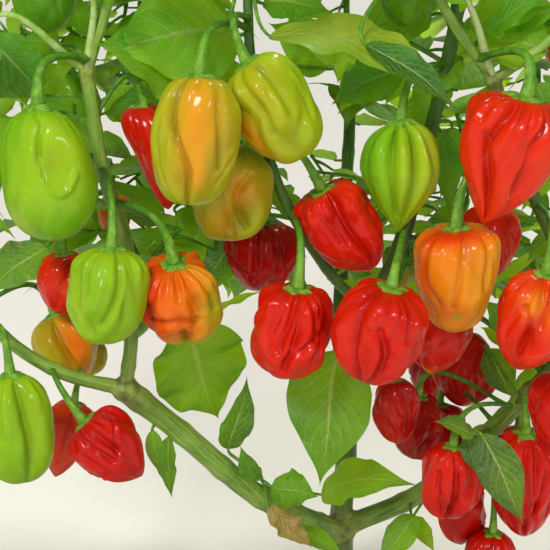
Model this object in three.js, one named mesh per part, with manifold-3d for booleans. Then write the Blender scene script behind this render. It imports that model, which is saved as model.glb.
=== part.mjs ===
// A chilli pepper plant with lantern-shaped fruit, rooted in the ground and bearing a full crop.
// Sizes are in millimetres. +Z is up, +X runs to the right and +Y away from the side where most fruit shows.
// The origin is the middle of the flat cut under the main stem, at ground level.
import * as THREE from "three";
import { mergeVertices } from "three/addons/utils/BufferGeometryUtils.js";
import Module from "manifold-3d";

const wasm = await Module();
wasm.setup();

// The crown is a dome that every twig and leaf keeps inside, with an underside that clears the ground.
const CROWN = { middle: [0, 5, 325], reach: [285, 232, 236], underside: 152 };
// Pieces that meet keep this gap between them.
const CLEARANCE = 0.4;
// Limbs: how much a knuckle swells, the share of the length that a flare takes, and their usual sides.
const LIMB = { knuckle: 0.16, knuckleFrom: 0.875, flare: 0.385, sides: 6 };
// A lantern-shaped fruit: the shares of its length where its rings lie, with and without lobes, how far the
// lobes swell, its plain radius, the narrowest that a ring may be, how deep its top sinks in, where it is
// widest unless a fruit says otherwise, and the powers that round its shoulder and its nose.
const LANTERN = {
  rings: [0.03, 0.2, 0.55, 0.86], plain: [0.08, 0.4, 0.8], lobe: 0.07, body: 0.96, least: 0.42, dip: 0.06,
  widest: 0.42, shoulder: 2.4, nose: 0.75,
};
// The stalk of a large fruit: its radius at the limb and what it gains on the way, the radius of its cap as a
// share of the fruit's width, where the cap begins, how high above its hook it looks for its limb, and the
// radius that other things keep clear of.
const STALK = { radius: 1.5, gain: 0.7, cap: 0.17, capFrom: 0.95, reach: 4, room: 2.6 };
// The seeded leaves: petiole, blade and width, in the range that they vary over, and how far down they hang.
const LEAF = { petiole: [16, 30], blade: [58, 88], width: 0.5, thick: 1.6, foot: 0.7, droop: [0.15, 0.95] };
// Where a leaf is widest, as a share of its length: with its petiole counted in, and for the blade alone.
const WAIST = { seeded: 0.52, shown: 0.42 };
// The radius of the petiole of a leaf that shows, at the twig and at the blade.
const PETIOLE = [1.2, 0.9];
// A seeded leaf tries these ways round its twig, in fifths of a turn, at full size and then smaller.
const TRIES = { sizes: [1, 0.8, 0.6], ways: [0, 1, 4, 2, 3] };
// The seeded fruit, which hang from forks inside the crown, each a little to one side of its fork.
const SEEDED_FRUIT = {
  long: [42, 58], wide: [32, 41], blunt: 2.1, stalk: 24, aside: 10, sides: 5, stalkRadii: [1.2, 2.4], sunk: 6,
};
// Twigs: each order is shorter and thinner than the last. A fork opens by this angle and turns up a little.
const TWIG = {
  shorter: 0.8, thinner: 0.8, thinnest: 1.2, side: 0.75, spread: [30, 46],
  radius: 2.4, sunk: 4, apart: 5, rise: 0.12,
};
// The room that seeded twigs, leaves and fruit keep from what is there.
const ROOM = { twig: 0.8, leaf: 2.5, fruit: 1.5 };
// The stream of numbers that twigs and leaves are drawn from, and how far apart masses and places start.
const STREAM = { step: 48271, span: 2147483647, perMass: 1009, perPlace: 7919 };
// Slivers smaller than this, where leaves and twigs fuse, are smoothed away.
const FINEST = 0.2;
// Where two spaces of foliage meet, each stops this far from the middle.
const SPACE_GAP = 1;
// No seeded twig, leaf or fruit grows in this box, where the fruit hangs in plain sight.
const OPEN_FRONT = { low: [-192, -400, 40], high: [112, -58, 372] };
// Straight gaps through the crown that let light through, each a line and its radius.
const LIGHT_GAPS = [
  { from: [7, -40, 285], to: [30, 240, 238], radius: 13 },
  { from: [-118, -40, 293], to: [-156, 240, 249], radius: 13 },
];

// Each limb: its route, and the radius at its two ends. A route starts inside the limb that it grows from.
const LIMBS = [
  {
    name: "main_stem",
    route: [[0, 0, -6], [-1, -2, 20], [0, -4, 44]],
    radii: [10.5, 8], sides: 10, flare: 7,
  },
  {
    name: "left_bough",
    route: [[-2, -6, 44], [-25, -30, 66], [-54, -48, 93], [-86, -68, 133], [-117, -85, 169]],
    radii: [7.2, 5.6],
  },
  {
    name: "left_upright",
    route: [[-117, -85, 169], [-113, -83, 201], [-115, -78, 246], [-124, -82, 281], [-129, -88, 331]],
    radii: [3.8, 3.2],
  },
  {
    name: "left_reach",
    route: [[-117, -85, 169], [-149, -92, 181], [-176, -97, 203], [-200, -92, 234]],
    radii: [3.7, 2.8],
  },
  { name: "left_top", route: [[-129, -88, 331], [-118, -88, 362], [-113, -86, 384]], radii: [2.9, 2.4] },
  { name: "leader", route: [[0, -3, 46], [3, 3, 78], [4, 8, 108]], radii: [7, 6.2] },
  {
    name: "centre_bough",
    route: [
      [4, 7, 108], [8, -20, 150], [13, -44, 198], [27, -56, 244], [39, -58, 299], [46, -60, 336],
      [51, -59, 366],
    ],
    radii: [5.2, 3],
  },
  {
    name: "centre_branch",
    route: [
      [13, -44, 198], [-11, -66, 225], [-37, -77, 271], [-50, -76, 320], [-53, -69, 360],
      [-52, -65, 372],
    ],
    radii: [3, 2.4],
  },
  {
    name: "right_bough",
    route: [[2, -4, 46], [40, -12, 68], [66, -24, 97], [84, -42, 130], [99, -56, 156]],
    radii: [6.2, 4.6],
  },
  {
    name: "right_upright",
    route: [[99, -56, 156], [114, -62, 186], [113, -70, 218], [99, -77, 248], [82, -79, 282], [64, -85, 326]],
    radii: [3.6, 3],
  },
  { name: "front_top", route: [[64, -85, 326], [38, -90, 361], [25, -94, 388]], radii: [2.8, 2.3] },
  { name: "right_top", route: [[64, -85, 326], [90, -89, 347], [116, -86, 374]], radii: [2.5, 2.1] },
  { name: "right_reach", route: [[99, -56, 156], [136, -52, 180], [170, -48, 216]], radii: [3.6, 2.8] },
  {
    name: "back_bough",
    route: [[4, 8, 108], [0, 34, 160], [3, 55, 225], [6, 68, 285], [4, 76, 332]],
    radii: [5.2, 3],
  },
  { name: "back_left", route: [[0, 34, 160], [-46, 62, 206], [-94, 88, 252]], radii: [3.8, 2.8] },
  { name: "back_right", route: [[0, 34, 160], [50, 66, 210], [98, 92, 256]], radii: [3.8, 2.8] },
];

// A large fruit: its name, the limb that its stalk grows from, its middle, its length and width, and its
// shape. The shape is the sideways lean of the tip and how far it swings back in degrees, the lobes, how
// blunt the lower end is, the share of the length where it is widest, and how high the stalk rises.
const pepper = (name, on, at, size, shape = {}) => ({
  name, on, at, size, lean: 0, back: 0, lobes: 4, blunt: 2.2, widest: LANTERN.widest, crook: 22, ...shape,
});

const FRUIT = [
  pepper("left_green", "left_top", [-145, -112, 286], [66, 45], {
    lean: 5, lobes: 3, blunt: 2.3, widest: 0.54,
  }),
  pepper("top_left_green", "left_top", [-149, -82, 368], [42, 32], { lobes: 3, blunt: 2.4 }),
  pepper("tall_orange", "centre_branch", [-76, -122, 303], [63, 39], { lean: -5, blunt: 2.9, widest: 0.5 }),
  pepper("slim_red", "left_upright", [-97, -78, 289], [54, 27], {
    lean: 14, lobes: 3, blunt: 1.7, widest: 0.3,
  }),
  pepper("tilted_lime", "centre_branch", [-40, -106, 315], [55, 38], {
    lean: 31, blunt: 2.6, widest: 0.46,
  }),
  pepper("olive_behind", "centre_branch", [-62, -84, 272], [52, 42], {
    lean: 9, lobes: 3, blunt: 2.4, widest: 0.5,
  }),
  pepper("dark_red_mid", "centre_branch", [-47, -52, 231], [40, 39], { blunt: 2.4 }),
  pepper("leaning_red", "centre_branch", [-5, -88, 255], [50, 37], { lean: 33, blunt: 2, widest: 0.32 }),
  pepper("ribbed_green", "centre_bough", [20, -92, 281], [55, 38], { lobes: 5, blunt: 1.7 }),
  pepper("shouldered_red", "front_top", [65, -117, 294], [62, 45], {
    lean: -16, lobes: 5, blunt: 1.8, widest: 0.28,
  }),
  pepper("big_orange", "right_upright", [47, -103, 233], [56, 43], {
    lean: 1, lobes: 5, blunt: 1.8, widest: 0.3,
  }),
  pepper("red_left_of_two", "centre_branch", [-32, -106, 207], [50, 41], {
    lean: -8, blunt: 2.5, widest: 0.48,
  }),
  pepper("red_right_of_two", "centre_bough", [9, -126, 213], [52, 43], {
    lean: -12, blunt: 2.5, widest: 0.46, crook: 11,
  }),
  pepper("red_under_orange", "centre_bough", [46, -66, 190], [40, 36], { lean: -12, lobes: 3, blunt: 1.9 }),
  pepper("dark_red_inner", "right_upright", [70, -10, 152], [48, 39], { lean: 10, lobes: 3 }),
  pepper("orange_red_right", "right_upright", [84, -110, 214], [52, 35], { lean: -12 }),
  pepper("red_right_edge", "right_upright", [103, -100, 163], [42, 31], { lean: -8, lobes: 3, blunt: 2.1 }),
  pepper("dark_red_low_a", "centre_bough", [25, -66, 149], [38, 25], { lean: 6, lobes: 3, blunt: 1.9 }),
  pepper("dark_red_low_b", "right_bough", [40, -42, 129], [40, 31], { lobes: 3, blunt: 2.1 }),
  pepper("small_red_low", "right_bough", [52, -86, 117], [44, 32], { lean: -3, blunt: 2.3, widest: 0.46 }),
  pepper("red_low_right", "right_bough", [95, -74, 110], [64, 37], { lean: 3, blunt: 2.1 }),
  pepper("dark_red_bottom", "right_bough", [80, -70, 58], [44, 30], { lobes: 3, blunt: 2 }),
  pepper("pale_green_front", "left_upright", [-119, -122, 230], [49, 38], {
    lean: -8, lobes: 3, blunt: 2.3, widest: 0.44,
  }),
  pepper("knee_orange", "left_upright", [-86, -102, 222], [48, 39], {
    lean: 6, back: 18, blunt: 2.8, widest: 0.44,
  }),
  pepper("red_behind_pale", "left_upright", [-147, -76, 223], [34, 27], { blunt: 2.1 }),
  pepper("olive_left", "left_reach", [-150, -60, 184], [40, 33], { lean: 20 }),
  pepper("low_left_green", "left_reach", [-165, -122, 163], [59, 36], {
    lean: 3, lobes: 3, blunt: 2.4, widest: 0.52,
  }),
  pepper("low_left_red", "left_reach", [-152, -74, 136], [46, 28], {
    lean: -16, lobes: 3, blunt: 1.7, widest: 0.32,
  }),
  pepper("low_left_crimson", "left_reach", [-121, -111, 148], [42, 35], {
    lean: 44, blunt: 1.9, widest: 0.36,
  }),
  pepper("top_green", "centre_bough", [25, -70, 368], [38, 31]),
];

// Each mass of leaves: the limb whose tip it grows from, or the place along that limb, the middle of its
// space, the seed of its rule, the length of its first twig, how many times it forks, and how often a fork
// carries a fruit. A mass with a stem has no rule: its twigs are drawn here, its leaves in the next table.
const MASSES = [
  {
    name: "leaves_left_side", on: "left_reach", heart: [-232, -70, 292],
    seed: 11, first: 44, forks: 3, fruit: 0.7,
  },
  {
    name: "leaves_left_crown", on: "left_top", heart: [-122, -102, 450],
    seed: 23, first: 46, forks: 3, fruit: 0.35,
  },
  {
    name: "leaves_centre_crown", on: "centre_branch", heart: [-48, -38, 470],
    seed: 37, first: 50, forks: 3, fruit: 0.3,
  },
  {
    name: "leaves_mid_crown", on: "centre_bough", heart: [72, -18, 472],
    seed: 41, first: 50, forks: 3, fruit: 0.3,
  },
  {
    name: "leaves_front_crown", on: "front_top", heart: [20, -138, 440],
    seed: 59, first: 44, forks: 3, fruit: 0.35,
  },
  {
    name: "leaves_right_crown", on: "right_top", heart: [152, -106, 430],
    seed: 67, first: 46, forks: 3, fruit: 0.4,
  },
  {
    name: "leaves_right_side", on: "right_reach", heart: [218, -36, 292],
    seed: 71, first: 46, forks: 3, fruit: 0.7,
  },
  {
    name: "leaves_back_left", on: "back_left", heart: [-142, 122, 342],
    seed: 83, first: 50, forks: 3, fruit: 0.7,
  },
  {
    name: "leaves_back_right", on: "back_right", heart: [146, 126, 346],
    seed: 97, first: 50, forks: 3, fruit: 0.7,
  },
  {
    name: "leaves_back_crown", on: "back_bough", heart: [2, 112, 440],
    seed: 103, first: 56, forks: 3, fruit: 0.5,
  },
  {
    name: "leaves_inner_left", on: "left_upright", near: [-114, -83, 192], heart: [-104, -8, 250],
    seed: 113, first: 48, forks: 2, fruit: 0.4,
  },
  {
    name: "leaves_inner_right", on: "centre_bough", near: [11, -34, 178], heart: [60, 6, 270],
    seed: 127, first: 46, forks: 2, fruit: 0.4,
  },
  {
    name: "leaves_low_left", on: "left_bough", heart: [-46, -66, 112],
    stem: [[-46, -43, 86], [-45, -52, 96], [-48, -58, 106]],
  },
  {
    name: "leaves_low_right", on: "right_bough", heart: [65, -84, 142],
    stem: [[62, -22, 92], [68, -58, 128], [64, -90, 147]],
  },
];

// A leaf that shows from the fruiting side: its mass, the foot and tip of its blade, its width, its facing.
const shownLeaf = (mass, foot, tip, wide, faces) => ({ mass, foot, tip, wide, faces });

const SHOWN_LEAVES = [
  shownLeaf("leaves_inner_right", [-8, -68, 183], [-21, -98, 122], 42, [-0.3, -0.9, 0.3]),
  shownLeaf("leaves_inner_left", [-86, -62, 194], [-64, -52, 142], 44, [0.2, -0.9, 0.2]),
  shownLeaf("leaves_inner_left", [-158, -66, 240], [-186, -86, 220], 25, [0.2, -0.7, 0.7]),
  shownLeaf("leaves_inner_left", [-62, -36, 240], [-73, -46, 208], 16, [0.2, -0.9, 0.3]),
  shownLeaf("leaves_low_left", [-14, -52, 92], [36, -77, 112], 28, [0.1, -0.6, 0.8]),
  shownLeaf("leaves_low_left", [-66, -56, 122], [-54, -66, 168], 19, [0.3, -0.9, 0.1]),
  shownLeaf("leaves_low_left", [-50, -58, 104], [-59, -66, 128], 12, [-0.2, -0.8, 0.5]),
  shownLeaf("leaves_low_left", [-42, -58, 100], [-16, -66, 98], 22, [0.2, -0.8, 0.6]),
  shownLeaf("leaves_low_left", [-44, -58, 88], [-18, -66, 66], 15, [0.3, -0.8, 0.5]),
  shownLeaf("leaves_low_right", [66, -92, 147], [86, -114, 106], 24, [-0.3, -0.9, 0.4]),
  shownLeaf("leaves_low_right", [62, -92, 147], [40, -104, 160], 13, [0, -0.6, 0.8]),
  shownLeaf("leaves_low_right", [40, -42, 74], [18, -60, 52], 18, [-0.2, -0.7, 0.7]),
  shownLeaf("leaves_left_side", [-176, -72, 346], [-148, -89, 314], 28, [-0.3, -0.8, 0.5]),
  shownLeaf("leaves_left_side", [-190, -62, 282], [-163, -72, 310], 20, [0.2, -0.9, 0.3]),
  shownLeaf("leaves_centre_crown", [-76, -74, 334], [-122, -100, 346], 78, [0.05, -0.8, 0.6]),
  shownLeaf("leaves_centre_crown", [-43, -84, 347], [45, -112, 317], 32, [0.35, -0.6, 0.7]),
  shownLeaf("leaves_mid_crown", [14, -38, 336], [-8, -44, 304], 20, [0, -0.9, 0.3]),
  shownLeaf("leaves_right_crown", [92, -78, 360], [66, -70, 346], 16, [0.2, -0.7, 0.7]),
];

const vector = (p) => new THREE.Vector3(...p);
const between = (range, share) => range[0] + (range[1] - range[0]) * share;

// A stream of numbers from 0 to 1 that is the same on every run.
function seeded(seed) {
  let state = seed;
  const next = () => {
    state = (state * STREAM.step) % STREAM.span;
    return state / STREAM.span;
  };
  for (let i = 0; i < 4; i += 1) next();
  return next;
}

// The smooth line through a limb's points.
const lineOf = (route) => new THREE.CatmullRomCurve3(route.map(vector), false, "catmullrom", 0.5);

// A closed solid from a list of corners and triangles, turned to face outwards.
function solidOf(corners, triangles) {
  const geometry = new THREE.BufferGeometry();
  geometry.setAttribute("position", new THREE.Float32BufferAttribute(corners.flatMap((c) => c.toArray()), 3));
  geometry.setIndex(triangles.flat());
  const merged = mergeVertices(geometry, 1e-4);
  const build = (index) =>
    new wasm.Manifold(new wasm.Mesh({
      numProp: 3,
      vertProperties: merged.attributes.position.array,
      triVerts: new Uint32Array(index),
    }));
  const index = Array.from(merged.index.array);
  const made = build(index);
  return made.volume() > 0 ? made : build(index.reverse());
}

// Rings of points joined into one closed body. Each end is a point if one is given, and flat if not.
function ringBody(rings, startPoint, endPoint) {
  const sides = rings[0].length;
  const corners = rings.flat();
  const triangles = [];
  for (let r = 0; r + 1 < rings.length; r += 1)
    for (let s = 0; s < sides; s += 1) {
      const a = r * sides + s;
      const b = r * sides + ((s + 1) % sides);
      triangles.push([a, b, a + sides], [b, b + sides, a + sides]);
    }
  const last = (rings.length - 1) * sides;
  const close = (first, point, reversed) => {
    const tip = corners.length;
    if (point) corners.push(point);
    for (let s = point ? 0 : 1; s < (point ? sides : sides - 1); s += 1) {
      const a = first + s;
      const b = first + ((s + 1) % sides);
      const c = point ? tip : first;
      triangles.push(reversed ? [b, a, c] : [a, b, c]);
    }
  };
  close(0, startPoint, true);
  close(last, endPoint, false);
  return solidOf(corners, triangles);
}

// A round rod along a line whose radius is worked out at each step by a rule, with square ends.
function rod(line, radiusAt, sides, steps) {
  const rings = [];
  let across = null;
  for (let i = 0; i <= steps; i += 1) {
    const share = i / steps;
    const along = line.getTangent(share);
    if (!across) across = Math.abs(along.z) > 0.9 ? new THREE.Vector3(1, 0, 0) : new THREE.Vector3(0, 0, 1);
    across = across.clone().addScaledVector(along, -across.dot(along)).normalize();
    const other = along.clone().cross(across);
    const middle = line.getPoint(share);
    rings.push(
      Array.from({ length: sides }, (_, s) => {
        const turn = (2 * Math.PI * s) / sides;
        const radius = radiusAt(share);
        return middle
          .clone()
          .addScaledVector(across, radius * Math.cos(turn))
          .addScaledVector(other, radius * Math.sin(turn));
      }),
    );
  }
  return ringBody(rings);
}

// A straight three-sided twig or stalk.
function stick(start, end, startRadius, endRadius) {
  return rod(new THREE.LineCurve3(start, end), (share) => between([startRadius, endRadius], share), 3, 1);
}

const limbNamed = (name) => LIMBS.find((limb) => limb.name === name);

// The radius of a limb: an even taper, a flare at the root, and a swollen knuckle at the far end.
function limbRadius(limb, share) {
  const taper = limb.radii[0] + (limb.radii[1] - limb.radii[0]) * share;
  const flare = (limb.flare || 0) * Math.max(0, 1 - share / LIMB.flare) ** 2;
  const swelling = Math.max(0, share - LIMB.knuckleFrom) / (1 - LIMB.knuckleFrom);
  const knuckle = LIMB.knuckle * limb.radii[1] * swelling;
  return taper + flare + knuckle;
}

// One tapering limb, grown outwards by a little where it is used to cut its neighbours clear.
function limbBody(limb, grown = 0) {
  const line = lineOf(limb.route);
  const steps = limb.flare ? 4 : 2 * (limb.route.length - 1);
  return rod(line, (share) => limbRadius(limb, share) + grown, limb.sides || LIMB.sides, steps);
}

// The point on a limb's middle line, away from its ends, that is nearest to a place.
function nearestOn(limb, place) {
  const points = lineOf(limb.route).getPoints(80).slice(4, 72);
  return points.reduce((best, p) => (p.distanceTo(place) < best.distanceTo(place) ? p : best));
}

// The shortest distance between two straight segments.
function segmentGap(a, b, c, d) {
  const u = b.clone().sub(a);
  const w = d.clone().sub(c);
  const r = a.clone().sub(c);
  const uu = u.lengthSq();
  const ww = w.lengthSq();
  const uw = u.dot(w);
  const ur = u.dot(r);
  const wr = w.dot(r);
  const clamp = (x) => Math.min(1, Math.max(0, x));
  const slant = uu * ww - uw * uw;
  let s = slant > 1e-9 ? clamp((uw * wr - ww * ur) / slant) : 0;
  const t = clamp((uw * s + wr) / ww);
  s = clamp((uw * t - ur) / uu);
  return a.clone().addScaledVector(u, s).distanceTo(c.clone().addScaledVector(w, t));
}

// A limb as a chain of straight rods, for the rules on what may touch it.
function limbRods(limb) {
  const line = lineOf(limb.route);
  const count = 4 * (limb.route.length - 1);
  return Array.from({ length: count }, (_, i) => ({
    from: line.getPoint(i / count),
    to: line.getPoint((i + 1) / count),
    radius: limbRadius(limb, (i + 0.5) / count),
  }));
}

// The way a fruit points, from its stalk to its tip.
function fruitAxis(fruit) {
  const lean = THREE.MathUtils.degToRad(fruit.lean);
  const back = THREE.MathUtils.degToRad(fruit.back);
  return new THREE.Vector3(Math.sin(lean), Math.sin(back) * Math.cos(lean), -Math.cos(back) * Math.cos(lean));
}

// A fruit as a rod with round ends, for the rules on what may touch it.
function fruitRod(fruit) {
  const [long, wide] = fruit.size;
  const axis = fruitAxis(fruit);
  const middle = vector(fruit.at);
  const reach = Math.max(1, (long - wide) / 2);
  return {
    from: middle.clone().addScaledVector(axis, -reach),
    to: middle.clone().addScaledVector(axis, reach),
    radius: wide / 2,
  };
}

// A lantern-shaped fruit: shoulders that rise quickly, lobes round its waist, and a pointed or blunt end.
function fruitBody(fruit, sides = 8) {
  const [long, wide] = fruit.size;
  const axis = fruitAxis(fruit);
  const { widest } = fruit;
  const top = vector(fruit.at).addScaledVector(axis, -long / 2);
  const across = new THREE.Vector3(1, 0, 0).addScaledVector(axis, -axis.x).normalize();
  const other = axis.clone().cross(across);
  const swell = (share) =>
    share < widest
      ? Math.sqrt(1 - ((widest - share) / widest) ** LANTERN.shoulder)
      : (1 - ((share - widest) / (1 - widest)) ** fruit.blunt) ** LANTERN.nose;
  const shares = fruit.lobes ? LANTERN.rings : LANTERN.plain;
  const rings = shares.map((share) =>
    Array.from({ length: sides }, (_, s) => {
      const turn = (2 * Math.PI * s) / sides;
      const lobe = fruit.lobes ? LANTERN.lobe * Math.sin(Math.PI * share) * Math.cos(fruit.lobes * turn) : 0;
      const radius = (wide / 2) * (LANTERN.body + lobe) * Math.max(LANTERN.least, swell(share));
      return top
        .clone()
        .addScaledVector(axis, long * share)
        .addScaledVector(across, radius * Math.cos(turn))
        .addScaledVector(other, radius * Math.sin(turn));
    }),
  );
  const dip = top.clone().addScaledVector(axis, LANTERN.dip * long);
  return ringBody(rings, dip, top.clone().addScaledVector(axis, long));
}

// The route of a fruit's stalk: out of its limb, over in a crook, and down into the cap.
function stalkLine(fruit, limb) {
  const [long] = fruit.size;
  const axis = fruitAxis(fruit);
  const cap = vector(fruit.at).addScaledVector(axis, -long / 2);
  const up = new THREE.Vector3(0, 0, 1);
  const hook = cap.clone().addScaledVector(axis, -0.75 * fruit.crook).addScaledVector(up, 0.25 * fruit.crook);
  const root = nearestOn(limb, hook.clone().addScaledVector(up, STALK.reach));
  const middle = hook.clone().lerp(root, 0.3).addScaledVector(up, 3);
  return new THREE.CubicBezierCurve3(root, middle, hook, cap.addScaledVector(axis, 0.05 * long));
}

// A large fruit with its stalk and the green cap where they meet.
function fruitOnStalk(fruit) {
  const cap = STALK.cap * fruit.size[1];
  const radiusAt = (share) => (share > STALK.capFrom ? cap : STALK.radius + STALK.gain * share);
  return wasm.Manifold.union([fruitBody(fruit), rod(stalkLine(fruit, limbNamed(fruit.on)), radiusAt, 4, 3)]);
}

// A leaf: a thin kite folded a little along its rib, with a foot thick enough to hold it.
function leafBody(leaf) {
  const along = leaf.tip.clone().sub(leaf.foot);
  const side = leaf.faces.clone().cross(along).normalize();
  const up = along.clone().cross(side).normalize();
  const waist = leaf.foot.clone().addScaledVector(along, leaf.waist);
  const half = LEAF.thick / 2;
  const fold = -0.05 * leaf.wide;
  const corners = [
    leaf.foot.clone().addScaledVector(up, LEAF.foot / 2),
    leaf.foot.clone().addScaledVector(up, -LEAF.foot / 2),
    waist.clone().addScaledVector(side, leaf.wide / 2),
    waist.clone().addScaledVector(side, -leaf.wide / 2),
    waist.clone().addScaledVector(up, half + fold),
    waist.clone().addScaledVector(up, fold - half),
    leaf.tip.clone(),
  ];
  const triangles = [
    [0, 4, 2], [0, 3, 4], [1, 2, 5], [1, 5, 3], [0, 2, 1],
    [0, 1, 3], [6, 2, 4], [6, 4, 3], [6, 5, 2], [6, 3, 5],
  ];
  return solidOf(corners, triangles);
}

// The direction at a right angle to another, turned round it by an angle.
function sideways(aim, turn) {
  const flat = Math.abs(aim.z) > 0.95 ? new THREE.Vector3(1, 0, 0) : new THREE.Vector3(0, 0, 1);
  const across = aim.clone().cross(flat).normalize();
  const other = aim.clone().cross(across);
  return across.multiplyScalar(Math.cos(turn)).addScaledVector(other, Math.sin(turn));
}

// The corners of a leaf and the lines between them, which the rules on space and touching look at.
function leafCorners(leaf) {
  const along = leaf.tip.clone().sub(leaf.foot);
  const side = leaf.faces.clone().cross(along).normalize();
  const waist = leaf.foot.clone().addScaledVector(along, leaf.waist);
  return [
    leaf.foot,
    waist.clone().addScaledVector(side, leaf.wide / 2),
    leaf.tip,
    waist.clone().addScaledVector(side, -leaf.wide / 2),
  ];
}

function leafLines(leaf) {
  const [foot, left, tip, right] = leafCorners(leaf);
  const start = foot.clone().lerp(tip, 0.12);
  return [[start, tip], [left, right], [left, tip], [right, tip], [start, left], [start, right]];
}

// Whether a point lies in the crown, in this mass's own share of it, and out of the open front.
function inSpace(point, mass) {
  const place = point.toArray();
  const dome = place.reduce((sum, x, i) => sum + ((x - CROWN.middle[i]) / CROWN.reach[i]) ** 2, 0);
  if (dome > 1 || point.z < CROWN.underside) return false;
  const own = vector(mass.heart);
  for (const other of MASSES) {
    if (other === mass) continue;
    const heart = vector(other.heart);
    const lead = point.distanceToSquared(heart) - point.distanceToSquared(own);
    if (lead < 2 * SPACE_GAP * heart.distanceTo(own)) return false;
  }
  return !place.every((x, i) => x > OPEN_FRONT.low[i] && x < OPEN_FRONT.high[i]);
}

const touches = (lines, rods, gap) =>
  rods.some((r) => lines.some(([a, b]) => segmentGap(a, b, r.from, r.to) < r.radius + gap));

const LIMB_RODS = LIMBS.flatMap(limbRods);
const FRUIT_RODS = FRUIT.map(fruitRod);
const STALK_RODS = FRUIT.flatMap((fruit) => {
  const points = stalkLine(fruit, limbNamed(fruit.on)).getPoints(3);
  return points.slice(1).map((to, i) => ({ from: points[i], to, radius: STALK.room }));
});
const GAP_RODS = LIGHT_GAPS.map((g) => ({ from: vector(g.from), to: vector(g.to), radius: g.radius }));

// Where a mass's stem leaves its limb, and the way that it sets out.
function rootOf(mass) {
  const limb = limbNamed(mass.on);
  const line = lineOf(limb.route);
  const root = mass.near ? nearestOn(limb, vector(mass.near)) : line.getPoint(1);
  const towards = vector(mass.heart).sub(root).normalize();
  const aim = mass.near ? towards : towards.add(line.getTangent(1)).normalize();
  return { root, aim, rootRadius: mass.near ? limb.radii[0] : limb.radii[1] };
}

// Grows the twigs of one mass by its seeded rule. Each twig forks in two, and the forks turn from order to
// order. A twig that would leave the mass's space, or touch a limb or a large fruit, is skipped, with all
// that it would bear.
function growTwigs(mass, obstacles) {
  if (mass.stem) {
    const points = mass.stem.map(vector);
    const radii = [1.5, 1.3];
    return points.slice(1).map((end, i) => ({ start: points[i], end, place: 2 ** (i + 1) - 1, radii }));
  }
  const twigs = [];
  function grow(start, aim, long, radius, order, place, clearFrom) {
    const draw = seeded(mass.seed * STREAM.perMass + place * STREAM.perPlace);
    const end = start.clone().addScaledVector(aim, long * between([0.85, 1.15], draw()));
    const turn = 2 * Math.PI * draw();
    const spread = THREE.MathUtils.degToRad(between(TWIG.spread, draw()));
    if (order > 0 && !inSpace(end, mass)) return;
    const clear = start.clone().addScaledVector(aim, clearFrom);
    if (touches([[clear, end]], obstacles, radius + ROOM.twig)) return;
    const tipRadius = Math.max(TWIG.thinnest, radius * TWIG.thinner);
    twigs.push({ start, end, aim, turn, order, place, draw, radii: [radius, tipRadius] });
    if (order === mass.forks) return;
    const plane = sideways(aim, turn);
    for (const side of [-1, 1]) {
      const child = aim.clone().multiplyScalar(Math.cos(spread));
      child.addScaledVector(plane, side * Math.sin(spread));
      child.z += TWIG.rise;
      const next = 2 * place + (side > 0 ? 1 : 0);
      const foot = end.clone().addScaledVector(aim, side > 0 ? 0 : -TWIG.sunk);
      const width = side > 0 ? tipRadius : TWIG.side * tipRadius;
      grow(foot, child.normalize(), long * TWIG.shorter, width, order + 1, next, 0.25 * long);
    }
  }
  const { root, aim, rootRadius } = rootOf(mass);
  grow(root, aim, mass.first, TWIG.radius, 0, 1, 2.2 * rootRadius + 4);
  return twigs;
}

// The twigs that bear something, themselves or further out.
function bearing(twigs, borne) {
  const places = new Set(borne.map((grown) => grown.place));
  for (const { place } of [...twigs].reverse()) if (places.has(place)) places.add(Math.floor(place / 2));
  return twigs.filter((twig) => places.has(twig.place));
}

// Twigs in runs: where a twig forks, its second branch carries its run on and its first starts another.
function twigRuns(twigs) {
  const at = new Map(twigs.map((twig) => [twig.place, twig]));
  const starts = twigs.filter((t) => t.place === 1 || t.place % 2 === 0 || !at.has((t.place - 1) / 2));
  return starts.map((first) => {
    const run = [first];
    while (at.has(2 * run.at(-1).place + 1)) run.push(at.get(2 * run.at(-1).place + 1));
    return run;
  });
}

// One run of twigs as a three-sided tapering rod.
function runBody(run) {
  const line = lineOf([run[0].start, ...run.map((t) => t.end)].map((p) => p.toArray()));
  const radii = [run[0].radii[0], ...run.map((t) => t.radii[1])];
  return rod(line, (share) => radii[Math.round(share * run.length)], 3, run.length);
}

// A fruit that may hang from the end of a twig.
function growFruit(mass, twig, obstacles) {
  const { end, draw } = twig;
  const [long, wide, turn, chance] = [draw(), draw(), draw(), draw()];
  if (chance > mass.fruit) return null;
  const size = [between(SEEDED_FRUIT.long, long), between(SEEDED_FRUIT.wide, wide)];
  const angle = 2 * Math.PI * turn;
  const { aside, stalk, blunt } = SEEDED_FRUIT;
  const at = [end.x + aside * Math.cos(angle), end.y + aside * Math.sin(angle), end.z - stalk - size[0] / 2];
  const hanging = { lean: 0, back: 0, blunt, widest: LANTERN.widest };
  const fruit = { at, size, ...hanging, fork: end, place: twig.place };
  const { from, to, radius } = fruitRod(fruit);
  const rim = [[1, 0, 0], [-1, 0, 0], [0, 1, 0], [0, -1, 0], [0, 0, 1.5], [0, 0, -1.5]];
  const roomy = rim.every((way) => inSpace(vector(at).addScaledVector(vector(way), radius), mass));
  return roomy && !touches([[from, to]], obstacles, radius + ROOM.fruit) ? fruit : null;
}

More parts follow.
